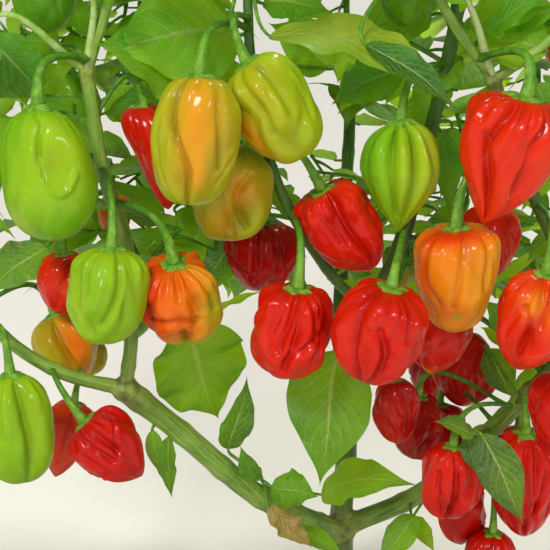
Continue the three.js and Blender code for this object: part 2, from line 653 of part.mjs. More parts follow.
// A leaf at the end of a twig: the first of its tries that keeps to the mass's space and clear of the rest.
function growLeaf(mass, twig, number, count, obstacles) {
  const { end, aim, draw } = twig;
  const [petiole, blade, droop, tilt, roll] = [draw(), draw(), draw(), draw(), draw()];
  const faces = new THREE.Vector3(0.5 * (roll - 0.5), 0.5 * (tilt - 0.5), 1);
  for (const size of TRIES.sizes)
    for (const way of TRIES.ways) {
      const turn = twig.turn + (2 * Math.PI * number) / count + (2 * Math.PI * way) / 5;
      const out = sideways(aim, turn).addScaledVector(aim, 0.2 + 0.4 * tilt);
      out.z = out.z * 0.5 - between(LEAF.droop, droop);
      const bladeLong = size * between(LEAF.blade, blade);
      const foot = end.clone().addScaledVector(aim, -TWIG.apart * (number + 1));
      const reach = size * between(LEAF.petiole, petiole) + bladeLong;
      const tip = foot.clone().addScaledVector(out.normalize(), reach);
      const leaf = { foot, tip, faces, wide: LEAF.width * bladeLong, waist: WAIST.seeded, place: twig.place };
      const roomy = leafCorners(leaf).slice(1).every((p) => inSpace(p, mass));
      if (roomy && !touches(leafLines(leaf), obstacles, ROOM.leaf)) return leaf;
    }
  return null;
}

// The leaves of one mass that show, each with the point on the mass's twigs that its petiole grows from.
function shownLeavesOf(mass, twigs) {
  const holdsOf = (t) => [0.3, 0.6, 0.9].map((s) => ({ at: t.start.clone().lerp(t.end, s), place: t.place }));
  const holds = twigs.flatMap(holdsOf);
  return SHOWN_LEAVES.filter((l) => l.mass === mass.name).map((l) => {
    const [foot, tip, faces] = [l.foot, l.tip, l.faces].map(vector);
    const hold = holds.reduce((best, h) => (h.at.distanceTo(foot) < best.at.distanceTo(foot) ? h : best));
    return { foot, tip, faces, wide: l.wide, waist: WAIST.shown, hold: hold.at, place: hold.place };
  });
}

const leafRods = (leaf) => leafLines(leaf).map(([from, to]) => ({ from, to, radius: 0.8 }));
const twigRods = (twigs) => twigs.map((t) => ({ from: t.start, to: t.end, radius: t.radii[0] }));

// Dresses the twigs of one mass with fruit, then with leaves, where there is room.
function dress(mass, twigs, obstacles) {
  const [fruits, leaves] = [[], []];
  if (mass.stem) return { fruits, leaves };
  const clearOf = (twig) => twigs.filter((t) => t.start.distanceTo(twig.end) > 2 * TWIG.sunk && t !== twig);
  const there = (twig) => [...obstacles, ...twigRods(clearOf(twig)), ...fruits.map(fruitRod)];
  for (const twig of twigs) {
    const fruit = growFruit(mass, twig, there(twig));
    if (fruit) fruits.push(fruit);
  }
  for (const twig of twigs) {
    const count = twig.order === 0 ? 1 : 2;
    for (let i = 0; i < count; i += 1) {
      const leaf = growLeaf(mass, twig, i, count, [...there(twig), ...leaves.flatMap(leafRods)]);
      if (leaf) leaves.push(leaf);
    }
  }
  return { fruits, leaves };
}

// The largest body of a solid that cutting may have left in several.
function mainBody(solid) {
  return solid.decompose().reduce((best, s) => (s.volume() > best.volume() ? s : best));
}

const overlaps = (a, b) => {
  const [p, q] = [a.boundingBox(), b.boundingBox()];
  if ([0, 1, 2].some((i) => p.min[i] > q.max[i] || q.min[i] > p.max[i])) return false;
  return a.intersect(b).volume() > 0;
};

const cutClear = (solid, cutters) =>
  cutters.filter((c) => overlaps(solid, c)).reduce((left, c) => left.subtract(c), solid);

// A mass as one solid: twigs, the leaves that show with their petioles, and the seeded leaves and fruit.
// A seeded leaf or fruit that still touches a neighbour is left out.
function massBody(twigs, shown, dressing, neighbours) {
  const clear = (solid) => !neighbours.some((n) => overlaps(solid, n));
  const bare = twigRuns(bearing(twigs, [...shown, ...dressing.leaves, ...dressing.fruits])).map(runBody);
  const petioleOf = (l) => stick(l.hold, l.foot.clone().lerp(l.tip, 0.05), ...PETIOLE);
  const lead = shown.flatMap((l) => [leafBody(l), petioleOf(l)]);
  const fruits = dressing.fruits.map((f) => {
    const cap = vector(f.at).add(new THREE.Vector3(0, 0, f.size[0] / 2 - SEEDED_FRUIT.sunk));
    const stalk = stick(f.fork, cap, ...SEEDED_FRUIT.stalkRadii);
    return wasm.Manifold.union([fruitBody(f, SEEDED_FRUIT.sides), stalk]);
  });
  const seededParts = [...dressing.leaves.map(leafBody), ...fruits].filter(clear);
  return wasm.Manifold.union([...bare, ...lead, ...seededParts]).simplify(FINEST);
}

// Colours of the parts, as the plant shows them.
const RED = 0xc81a0c;
const COLOURS = {
  stem: 0x6f8f35,
  leaf: 0x4f8a22,
  left_green: 0x8fc21e,
  top_left_green: 0x5f9a1c,
  tall_orange: 0xd9a11a,
  tilted_lime: 0x9fb021,
  olive_behind: 0xb0a01c,
  ribbed_green: 0x86b81f,
  top_green: 0x5f9a1c,
  pale_green_front: 0x93c41f,
  low_left_green: 0x8abd22,
  knee_orange: 0xe07414,
  big_orange: 0xee7a10,
  olive_left: 0x9a8a1a,
};

// A solid as a named mesh, in the colour that it shows before it is dressed.
function meshOf(name, solid, colour, roughness) {
  const raw = solid.getMesh();
  const geometry = new THREE.BufferGeometry();
  geometry.setAttribute("position", new THREE.BufferAttribute(new Float32Array(raw.vertProperties), 3));
  geometry.setIndex(new THREE.BufferAttribute(new Uint32Array(raw.triVerts), 1));
  geometry.computeVertexNormals();
  const material = new THREE.MeshStandardMaterial({ color: colour, roughness, metalness: 0 });
  const mesh = new THREE.Mesh(geometry, material);
  mesh.name = name;
  return mesh;
}

const plant = new THREE.Group();

// Limbs, each cut clear of those before it.
const limbSolids = [];
const limbCutters = [];
for (const limb of LIMBS) {
  limbSolids.push(mainBody(cutClear(limbBody(limb), limbCutters).trimByPlane([0, 0, 1], 0)));
  limbCutters.push(limbBody(limb, CLEARANCE));
  plant.add(meshOf(limb.name, limbSolids.at(-1), COLOURS.stem, 0.6));
}

// The large fruit, each cut clear of the limbs.
const fruitSolids = FRUIT.map((fruit) => mainBody(cutClear(fruitOnStalk(fruit), limbCutters)));
FRUIT.forEach((fruit, i) => {
  plant.add(meshOf(`fruit_${fruit.name}`, fruitSolids[i], COLOURS[fruit.name] || RED, 0.25));
});

// The masses of leaves, each clear of the limbs, the large fruit and the leaves that its neighbours show.
const fixedRods = [...LIMB_RODS, ...FRUIT_RODS, ...STALK_RODS, ...GAP_RODS];
const twigsOf = MASSES.map((mass) => growTwigs(mass, fixedRods));
const shownOf = MASSES.map((mass, i) => shownLeavesOf(mass, twigsOf[i]));
const petioleRod = (leaf) => ({ from: leaf.hold, to: leaf.foot, radius: PETIOLE[0] });
const shownRods = shownOf.flat().flatMap((leaf) => [...leafRods(leaf), petioleRod(leaf)]);
const shownSolids = shownOf.map((leaves) => leaves.map(leafBody));
MASSES.forEach((mass, i) => {
  const dressing = dress(mass, twigsOf[i], [...fixedRods, ...shownRods]);
  const others = shownSolids.filter((_, j) => j !== i).flat();
  const body = massBody(twigsOf[i], shownOf[i], dressing, [...fruitSolids, ...limbCutters, ...others]);
  plant.add(meshOf(mass.name, mainBody(cutClear(body, limbCutters)), COLOURS.leaf, 0.55));
});

export default plant;
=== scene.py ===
"""The looks of a chilli pepper plant in full fruit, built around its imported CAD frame.

Lengths in the tables are in millimetres, in the part's own frame: +Z is up, +X runs to the right and +Y away
from the side where most fruit shows. Each mesh is made in metres. It is laid out as an add-on and run as a
script.
"""
import math
from dataclasses import dataclass, field
from dataclasses import replace as altered
from functools import lru_cache

import bpy
import numpy as np
from mathutils import Matrix


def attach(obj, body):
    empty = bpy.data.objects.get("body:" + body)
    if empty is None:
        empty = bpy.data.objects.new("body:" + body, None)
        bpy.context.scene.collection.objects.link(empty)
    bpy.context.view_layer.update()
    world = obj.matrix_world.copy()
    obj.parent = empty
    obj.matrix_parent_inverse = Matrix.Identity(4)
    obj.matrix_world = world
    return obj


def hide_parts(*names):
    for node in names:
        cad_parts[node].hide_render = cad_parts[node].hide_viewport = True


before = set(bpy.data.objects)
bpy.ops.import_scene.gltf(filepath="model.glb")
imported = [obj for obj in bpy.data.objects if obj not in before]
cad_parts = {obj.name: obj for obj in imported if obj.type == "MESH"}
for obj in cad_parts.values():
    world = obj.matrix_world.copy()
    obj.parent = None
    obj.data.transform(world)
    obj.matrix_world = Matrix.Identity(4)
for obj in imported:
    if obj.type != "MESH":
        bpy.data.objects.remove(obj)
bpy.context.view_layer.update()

bl_info = {
    "name": "Chilli pepper plant",
    "version": (1, 0, 0),
    "blender": (4, 5, 0),
    "location": "3D View > Sidebar > Chilli plant",
    "description": "Dresses a chilli pepper plant: stems, fruit, caps and stalks, leaves and the stage",
    "category": "Object",
}

MM = 0.001

# The crown is a dome that every twig and leaf keeps inside, with an underside that clears the ground.
CROWN_MIDDLE = np.array([0, 5, 325])
CROWN_REACH = np.array([285, 232, 236])
UNDERSIDE = 152
# Where two spaces of foliage meet, each stops this far from the middle.
SPACE_GAP = 1
# No seeded twig, leaf or fruit grows in this box, where the fruit hangs in plain sight.
OPEN_FRONT = np.array([[-192, -400, 40], [112, -58, 372]])
# Straight gaps through the crown that let light through: start, end and radius.
LIGHT_GAPS = np.array([[7, -40, 285, 30, 240, 238, 13], [-118, -40, 293, -156, 240, 249, 13]], float)
# The stream of numbers that the part's source draws its twigs and leaves from.
STREAM_STEP, STREAM_SPAN, SEED_STEP, PLACE_STEP = 48271, 2147483647, 1009, 7919


@dataclass(frozen=True)
class Limb:
    """A limb's route, the radius at its two ends and the flare at its root."""
    route: tuple
    radii: tuple
    flare: float = 0


LIMBS = {
    "main_stem": Limb(((0, 0, -6), (-1, -2, 20), (0, -4, 44)), (10.5, 8), 7),
    "left_bough": Limb(
        ((-2, -6, 44), (-25, -30, 66), (-54, -48, 93), (-86, -68, 133), (-117, -85, 169)), (7.2, 5.6)),
    "left_upright": Limb(
        ((-117, -85, 169), (-113, -83, 201), (-115, -78, 246), (-124, -82, 281), (-129, -88, 331)),
        (3.8, 3.2)),
    "left_reach": Limb(((-117, -85, 169), (-149, -92, 181), (-176, -97, 203), (-200, -92, 234)), (3.7, 2.8)),
    "left_top": Limb(((-129, -88, 331), (-118, -88, 362), (-113, -86, 384)), (2.9, 2.4)),
    "leader": Limb(((0, -3, 46), (3, 3, 78), (4, 8, 108)), (7, 6.2)),
    "centre_bough": Limb(
        ((4, 7, 108), (8, -20, 150), (13, -44, 198), (27, -56, 244), (39, -58, 299), (46, -60, 336),
         (51, -59, 366)), (5.2, 3)),
    "centre_branch": Limb(
        ((13, -44, 198), (-11, -66, 225), (-37, -77, 271), (-50, -76, 320), (-53, -69, 360), (-52, -65, 372)),
        (3, 2.4)),
    "right_bough": Limb(
        ((2, -4, 46), (40, -12, 68), (66, -24, 97), (84, -42, 130), (99, -56, 156)), (6.2, 4.6)),
    "right_upright": Limb(
        ((99, -56, 156), (114, -62, 186), (113, -70, 218), (99, -77, 248), (82, -79, 282), (64, -85, 326)),
        (3.6, 3)),
    "front_top": Limb(((64, -85, 326), (38, -90, 361), (25, -94, 388)), (2.8, 2.3)),
    "right_top": Limb(((64, -85, 326), (90, -89, 347), (116, -86, 374)), (2.5, 2.1)),
    "right_reach": Limb(((99, -56, 156), (136, -52, 180), (170, -48, 216)), (3.6, 2.8)),
    "back_bough": Limb(((4, 8, 108), (0, 34, 160), (3, 55, 225), (6, 68, 285), (4, 76, 332)), (5.2, 3)),
    "back_left": Limb(((0, 34, 160), (-46, 62, 206), (-94, 88, 252)), (3.8, 2.8)),
    "back_right": Limb(((0, 34, 160), (50, 66, 210), (98, 92, 256)), (3.8, 2.8)),
}


@dataclass(frozen=True)
class Fruit:
    """A fruit's place and shape as in the part's source, and then how it looks.

    lean and back tilt its tip in degrees. ripe runs from 0, deep green, to 1, crimson. turn is the bearing in
    degrees of its first groove, from its right side round past the front. blush adds ripeness towards its
    right, its front and its tip. dents are (bearing, share of length, depth, half width in degrees, half
    length as a share), and patches are the same with added ripeness for depth. A fold runs through its
    bearings and shares in turn, and starts with its depth and half width; a depth below nought raises a
    ridge.
    """
    name: str
    at: tuple
    size: tuple
    lean: float = 0
    back: float = 0
    lobes: int = 4
    blunt: float = 2.2
    crook: float = 22
    on: str = ""
    slot: str = "fruit_red"
    ripe: float = 0.92
    turn: float = 40
    groove: float = 0.13
    wrinkle: float = 0.6
    pleat: float = 0.5
    nose: float = 0.64
    widest: float = 0.42
    shoulder: float = 2.4
    sink: float = 0.06
    sway: float = 0.3
    cap: float = 0.36
    bend: float = 0
    blush: tuple = (0, 0, 0)
    dents: tuple = ()
    patches: tuple = ()
    folds: tuple = ()


FRUIT = (
    Fruit("left_green", (-145, -112, 286), (66, 45), widest=0.54, sink=0.03, shoulder=2.1, lean=5, lobes=3,
          blunt=2.3, on="left_top", slot="fruit_green", ripe=0.1, turn=118, groove=0.09, wrinkle=0.35,
          blush=(0.02, 0.02, -0.02), dents=((68, 0.38, 3.2, 20, 0.16), (150, 0.45, 0.9, 10, 0.3)),
          patches=((140, 0.8, 0.12, 18, 0.1),),
          folds=((-2, 1.1, (93, 0.3), (88, 0.48), (76, 0.58), (58, 0.58), (45, 0.47)),
                 (3, 1.7, (95, 0.02), (78, 0.12), (84, 0.24), (88, 0.34)))),
    Fruit("top_left_green", (-149, -82, 368), (42, 32), lobes=3, blunt=2.4, on="left_top", slot="fruit_green",
          ripe=0.05, turn=70, wrinkle=0.3),
    Fruit("tall_orange", (-76, -122, 303), (63, 39), widest=0.5, shoulder=3.2, sink=0.05, sway=0.55, lean=-5,
          blunt=2.9, on="centre_branch", slot="fruit_orange", ripe=0.32, turn=127, groove=0.06, wrinkle=0.5,
          nose=0.55, dents=((106, 0.77, 3, 13, 0.13), (60, 0.95, 2, 40, 0.1)),
          patches=((86, 0.34, 0.13, 28, 0.5), (150, 0.5, -0.07, 26, 0.5), (15, 0.6, -0.06, 30, 0.5),
                   (80, 0.7, 0.08, 12, 0.14), (90, 0.97, -0.1, 80, 0.13)),
          folds=((4.4, 2.2, (121, 0.02), (121, 0.12), (123, 0.34), (108, 0.52), (94, 0.69), (97, 0.95)),
                 (2.2, 2, (50, 0.04), (56, 0.3), (44, 0.62)), (2, 1.8, (87, 0), (85, 0.1)))),
    Fruit("slim_red", (-97, -78, 289), (54, 27), widest=0.3, sink=0.03, lean=14, lobes=3, blunt=1.7,
          on="left_upright", ripe=0.86, turn=20, bend=-0.08, wrinkle=0.3),
    Fruit("tilted_lime", (-40, -106, 315), (55, 38), widest=0.46, shoulder=2.8, sway=0.5, lean=31, blunt=2.6,
          on="centre_branch", slot="fruit_olive", ripe=0.22, turn=62, groove=0.12, wrinkle=0.5, nose=0.55,
          blush=(-0.05, 0.02, 0), dents=((98, 0.74, 3.4, 22, 0.12), (60, 0.3, 1.4, 14, 0.22)),
          patches=((150, 0.5, 0.18, 22, 0.4), (90, 0.3, 0.06, 12, 0.3)),
          folds=((3, 2.2, (112, 0.06), (100, 0.4), (108, 0.62)), (2.4, 2, (70, 0.1), (66, 0.55)))),
    Fruit("olive_behind", (-62, -84, 272), (52, 42), widest=0.5, sway=0.5, lean=9, lobes=3, blunt=2.8,
          on="centre_branch", slot="fruit_olive", ripe=0.31, turn=100, wrinkle=0.8,
          patches=((70, 0.42, 0.12, 22, 0.2), (105, 0.75, 0.08, 20, 0.16), (60, 0.8, -0.05, 30, 0.12)),
          dents=((76, 0.7, 3.4, 17, 0.11),),
          folds=((2.6, 2, (56, 0.3), (80, 0.52), (66, 0.8)), (2, 2, (102, 0.35), (92, 0.9)))),
    Fruit("dark_red_mid", (-47, -52, 231), (40, 39), shoulder=3, sink=0.09, blunt=2.4, on="centre_branch",
          ripe=0.94, turn=70, wrinkle=1.4, pleat=1.4, groove=0.15,
          folds=((2.4, 1.8, (70, 0.1), (58, 0.6)), (2, 1.6, (100, 0.2), (96, 0.7)))),
    Fruit("leaning_red", (-5, -88, 255), (50, 37), widest=0.32, shoulder=3, sink=0.09, lean=33, blunt=2,
          on="centre_branch", ripe=0.84, turn=82, groove=0.13, wrinkle=1, nose=0.56,
          dents=((70, 0.45, 2.6, 20, 0.16),), pleat=1.2,
          folds=((3.4, 2.2, (74, 0.08), (84, 0.45), (72, 0.85)), (2.6, 2, (112, 0.12), (106, 0.55)),
                 (1.6, 1.6, (92, 0.1), (98, 0.4)))),
    Fruit("ribbed_green", (20, -92, 281), (55, 38), widest=0.4, sink=0.02, sway=0.06, lobes=9, blunt=1.6,
          on="centre_bough", slot="fruit_green", ripe=0.15, turn=73, groove=0.16, wrinkle=0.25, pleat=0.6,
          nose=1.08, cap=0.46, blush=(0.08, 0, 0),
          folds=((2.6, 1.9, (114, 0.1), (112, 0.45), (104, 0.8)),
                 (2.2, 1.8, (72, 0.12), (74, 0.5), (80, 0.8)), (-1.4, 2.6, (92, 0.2), (93, 0.75)))),
    Fruit("shouldered_red", (65, -117, 294), (62, 45), widest=0.28, shoulder=2.8, sink=0.05, lean=-16,
          lobes=5, blunt=1.8, on="front_top", ripe=0.8, turn=62, groove=0.13, wrinkle=0.9, pleat=2, nose=0.85,
          cap=0.4, dents=((120, 0.6, 3, 14, 0.22), (60, 0.55, 1.6, 16, 0.12)),
          folds=((3.8, 2.2, (140, 0.35), (128, 0.65), (108, 0.92)), (2.4, 2, (100, 0.06), (106, 0.45)),
                 (2.4, 2.2, (66, 0.06), (72, 0.36), (62, 0.66)), (2, 1.8, (124, 0.06), (130, 0.34)))),
    Fruit("big_orange", (47, -103, 233), (56, 43), shoulder=2.9, sink=0.07, lean=1, lobes=5, blunt=2.3,
          on="right_upright", slot="fruit_orange", ripe=0.5, turn=60, groove=0.1, wrinkle=0.7, cap=0.32,
          blush=(-0.03, 0, -0.04), widest=0.3, nose=0.6,
          patches=((90, 0.03, 0.2, 90, 0.09), (30, 0.75, -0.05, 30, 0.3), (150, 0.4, 0.1, 18, 0.4),
                   (92, 0.76, 0.13, 28, 0.15), (93, 0.77, -0.26, 12, 0.06)),
          dents=((97, 0.78, 4.2, 20, 0.1), (152, 0.72, 4, 26, 0.14)),
          folds=((3, 1.9, (84, 0.04), (92, 0.34), (100, 0.66)), (2.2, 1.9, (52, 0.1), (56, 0.5)),
                 (3.4, 2, (138, 0.08), (142, 0.45), (126, 0.64)))),
    Fruit("red_left_of_two", (-32, -106, 207), (50, 41), widest=0.48, shoulder=2.8, sink=0.08, lean=-8,
          blunt=2.5, on="centre_branch", ripe=0.86, turn=84, groove=0.12, wrinkle=1.1,
          dents=((118, 0.55, 2.4, 20, 0.2),), pleat=1.7,
          folds=((3.6, 2.2, (88, 0.06), (84, 0.4), (98, 0.8)), (2.4, 1.8, (60, 0.06), (52, 0.45)),
                 (2, 1.7, (112, 0.08), (128, 0.42)))),
    Fruit("red_right_of_two", (9, -126, 213), (52, 43), widest=0.46, shoulder=2.8, sink=0.08, lean=-12,
          blunt=2.5, crook=11, on="centre_bough", ripe=0.86, turn=128, groove=0.12, wrinkle=1.4,
          dents=((72, 0.62, 2.6, 18, 0.18), (96, 0.3, 1.6, 14, 0.16)), pleat=1.5,
          folds=((3.4, 2.2, (126, 0.08), (132, 0.5), (118, 0.88)), (2.6, 1.8, (64, 0.06), (60, 0.4)),
                 (4, 2.3, (100, 0.36), (84, 0.56), (86, 0.78), (98, 0.92)),
                 (-2, 2.2, (112, 0.26), (99, 0.48), (100, 0.7), (110, 0.86)))),
    Fruit("red_under_orange", (46, -66, 190), (40, 36), lean=-12, lobes=3, blunt=1.9, on="centre_bough",
          ripe=0.84, turn=140, wrinkle=0.6, nose=0.75, patches=((110, 0.97, -0.34, 60, 0.09),)),
    Fruit("dark_red_inner", (70, -10, 152), (48, 39), lean=10, lobes=3, on="right_upright", ripe=0.87,
          turn=80, wrinkle=0.9, groove=0.18),
    Fruit("orange_red_right", (84, -110, 214), (52, 35), lean=-12, on="right_upright", slot="fruit_orange",
          ripe=0.78, turn=110, groove=0.14, wrinkle=1.5, blush=(0, 0.02, 0.02), pleat=1.4,
          patches=((112, 0.26, -0.24, 22, 0.16), (66, 0.34, -0.2, 18, 0.16)),
          dents=((98, 0.62, 3, 20, 0.12),),
          folds=((2.4, 1.6, (124, 0.3), (108, 0.5), (116, 0.8)), (2, 1.5, (80, 0.1), (88, 0.45)))),
    Fruit("red_right_edge", (103, -100, 163), (42, 31), lean=-8, lobes=3, blunt=2.1, on="right_upright",
          ripe=0.88, turn=40),
    Fruit("dark_red_low_a", (25, -66, 149), (38, 25), lean=6, lobes=3, blunt=1.9, on="centre_bough",
          ripe=0.91, turn=70, wrinkle=1.2, nose=0.6),
    Fruit("dark_red_low_b", (40, -42, 129), (40, 31), lobes=3, blunt=2.1, on="right_bough", ripe=0.93,
          turn=84, wrinkle=1.2, groove=0.16),
    Fruit("small_red_low", (52, -86, 117), (44, 32), widest=0.46, lean=-3, blunt=2.6, on="right_bough",
          ripe=0.87, turn=76, groove=0.15, wrinkle=1.4,
          dents=((110, 0.72, 3, 22, 0.12), (66, 0.4, 2.4, 16, 0.16)), pleat=1.2,
          folds=((3, 1.8, (92, 0.1), (84, 0.5), (100, 0.9)), (2.2, 1.6, (128, 0.3), (120, 0.8)))),
    Fruit("red_low_right", (95, -74, 110), (64, 37), lean=3, blunt=2.1, on="right_bough", ripe=0.88, turn=60,
          groove=0.12, wrinkle=1.5, pleat=1.4,
          folds=((2.4, 1.6, (108, 0.1), (98, 0.5), (110, 0.9)), (2, 1.5, (76, 0.1), (84, 0.6), (74, 0.9)))),
    Fruit("dark_red_bottom", (80, -70, 58), (44, 30), lobes=3, blunt=2, on="right_bough", ripe=0.93, turn=90,
          wrinkle=1),
    Fruit("pale_green_front", (-119, -122, 230), (49, 38), widest=0.42, sink=0.03, shoulder=2.9, lean=-8,
          lobes=3, blunt=2.5, on="left_upright", slot="fruit_green", ripe=0.16, turn=52, groove=0.08,
          wrinkle=0.45, pleat=0.9,
          dents=((108, 0.72, 4.4, 15, 0.13), (52, 0.5, 1.8, 12, 0.2), (150, 0.35, 1.2, 14, 0.16)),
          folds=((2.8, 2.2, (62, 0.05), (68, 0.4), (84, 0.66)), (1.8, 1.8, (122, 0.06), (116, 0.36)),
                 (-1.4, 1.8, (92, 0.3), (98, 0.52)))),
    Fruit("knee_orange", (-86, -102, 222), (48, 39), widest=0.44, shoulder=3, sink=0.07, lean=6, back=18,
          blunt=2.8, on="left_upright", slot="fruit_orange", ripe=0.62, turn=76, groove=0.13, wrinkle=0.8,
          nose=0.55, cap=0.38, patches=((150, 0.4, 0.2, 36, 0.4), (24, 0.5, -0.3, 30, 0.5),
                                        (80, 0.88, -0.26, 60, 0.12)),
          dents=((92, 0.78, 3, 22, 0.14), (60, 0.4, 1.4, 12, 0.2)), pleat=2.2,
          folds=((2.6, 1.9, (136, 0.5), (95, 0.46), (58, 0.56)), (3, 2.2, (86, 0.66), (88, 0.98)),
                 (2.2, 1.7, (62, 0.06), (48, 0.45)), (2.2, 1.7, (36, 0.06), (26, 0.5)),
                 (1.8, 1.6, (116, 0.1), (128, 0.4)))),
    Fruit("red_behind_pale", (-147, -76, 223), (34, 27), blunt=2.1, on="left_upright", ripe=0.84, turn=70,
          patches=((60, 0.6, -0.12, 30, 0.4),)),
    Fruit("olive_left", (-150, -60, 184), (40, 33), lean=20, on="left_reach", slot="fruit_olive", ripe=0.33,
          turn=96, wrinkle=0.7, patches=((60, 0.45, 0.28, 24, 0.4), (135, 0.5, -0.04, 30, 0.3)),
          folds=((3, 1.9, (96, 0.08), (84, 0.5), (70, 0.85)),)),
    Fruit("low_left_green", (-165, -122, 163), (59, 36), widest=0.52, shoulder=2.8, sink=0.03, lean=3,
          lobes=3, blunt=2.4, on="left_reach", slot="fruit_green", ripe=0.14, turn=74, groove=0.12,
          wrinkle=0.5, dents=((50, 0.55, 2.6, 16, 0.25),),
          folds=((3.2, 2.2, (66, 0.1), (58, 0.5), (66, 0.9)), (2.2, 2, (104, 0.05), (100, 0.45)))),
    Fruit("low_left_red", (-152, -74, 136), (46, 28), widest=0.32, lean=-16, lobes=3, blunt=1.7,
          on="left_reach", ripe=0.76, turn=60, wrinkle=0.8, nose=0.8,
          folds=((2.2, 1.7, (80, 0.1), (88, 0.7)),)),
    Fruit("low_left_crimson", (-121, -111, 148), (42, 35), widest=0.36, sink=0.07, lean=44, blunt=1.9,
          on="left_reach", ripe=0.91, turn=74, groove=0.13, wrinkle=1.1, nose=0.8, cap=0.4, pleat=1.6,
          folds=((2.8, 1.8, (96, 0.08), (84, 0.55)), (2.4, 1.8, (70, 0.08), (64, 0.5)),
                 (2.2, 1.8, (120, 0.12), (110, 0.62)))),
    Fruit("top_green", (25, -70, 368), (38, 31), on="centre_bough", slot="fruit_green", ripe=0.06, turn=60),
)


# Small fruit that show between the others, each with the mass of leaves that it is counted with.
INNER_FRUIT = (
    ("inner_right", Fruit("red_behind_orange", (71, -62, 241), (41, 31), on="right_upright", ripe=0.88)),
    ("inner_left", Fruit("orange_behind_stem", (-127, -30, 248), (25, 18), on="left_upright", lobes=3,
                         slot="fruit_orange", ripe=0.6, pleat=1.2)),
    ("inner_right", Fruit("olive_mid", (33, 3, 210), (26, 22), on="centre_bough", lobes=3, slot="fruit_olive",
                          ripe=0.27)),
    ("inner_right", Fruit("dark_red_far_a", (56, -16, 112), (42, 32), on="right_bough", ripe=0.9,
                          wrinkle=1.2)),
    ("inner_right", Fruit("dark_red_far_b", (102, -20, 96), (46, 33), on="right_bough", ripe=0.86,
                          wrinkle=1.2)),
    ("inner_right", Fruit("dark_red_far_c", (64, -58, 84), (40, 26), on="right_bough", ripe=0.9,
                          wrinkle=1.2)),
    ("inner_right", Fruit("dark_red_far_d", (58, 26, 135), (38, 28), on="centre_bough", ripe=0.93,
                          wrinkle=1.2)),
    ("inner_left", Fruit("olive_second", (-145, -22, 163), (22, 18), on="left_upright", lobes=3, crook=34,
                         slot="fruit_olive", ripe=0.36)),
)


@dataclass(frozen=True)
class Mass:
    """A mass of leaves: the limb it grows from, the middle of its space, its seed and its rule of growth."""
    name: str
    on: str
    heart: tuple
    seed: int = 0
    first: float = 0
    forks: int = 0
    fruit: float = 0
    near: tuple = ()
    stem: tuple = ()


MASSES = (
    Mass("left_side", "left_reach", (-232, -70, 292), 11, 44, 3, 0.7),
    Mass("left_crown", "left_top", (-122, -102, 450), 23, 46, 3, 0.35),
    Mass("centre_crown", "centre_branch", (-48, -38, 470), 37, 50, 3, 0.3),
    Mass("mid_crown", "centre_bough", (72, -18, 472), 41, 50, 3, 0.3),
    Mass("front_crown", "front_top", (20, -138, 440), 59, 44, 3, 0.35),
    Mass("right_crown", "right_top", (152, -106, 430), 67, 46, 3, 0.4),
    Mass("right_side", "right_reach", (218, -36, 292), 71, 46, 3, 0.7),
    Mass("back_left", "back_left", (-142, 122, 342), 83, 50, 3, 0.7),
    Mass("back_right", "back_right", (146, 126, 346), 97, 50, 3, 0.7),
    Mass("back_crown", "back_bough", (2, 112, 440), 103, 56, 3, 0.5),
    Mass("inner_left", "left_upright", (-104, -8, 250), 113, 48, 2, 0.4, near=(-114, -83, 192)),
    Mass("inner_right", "centre_bough", (60, 6, 270), 127, 46, 2, 0.4, near=(11, -34, 178)),
    Mass("low_left", "left_bough", (-46, -66, 112), stem=((-46, -43, 86), (-45, -52, 96), (-48, -58, 106))),
    Mass("low_right", "right_bough", (65, -84, 142), stem=((62, -22, 92), (68, -58, 128), (64, -90, 147))),
)
# Before the name of a mass, this gives the name of its solid.
MASS_NODE = "leaves_"


@dataclass(frozen=True)
class ShownLeaf:
    """A leaf that shows from the fruiting side: the ends of its blade, its width and the way that it faces.

    tone runs from 0, deep green, to 1, yellow-green. arch lifts its middle, fold lifts its margins, curl
    drops its tip and wave ruffles its margin, all as shares of its size. dry turns it from green to withered
    brown. hold is where its petiole starts, if not at the nearest stem, and thick is how stout that is beside
    the others.
    """
    spray: str
    foot: tuple
    tip: tuple
    wide: float
    faces: tuple
    tone: float = 0.4
    arch: float = 0.05
    fold: float = 0.15
    curl: float = 0.06
    wave: float = 0.05
    dry: float = 0
    hold: tuple = ()
    thick: float = 1


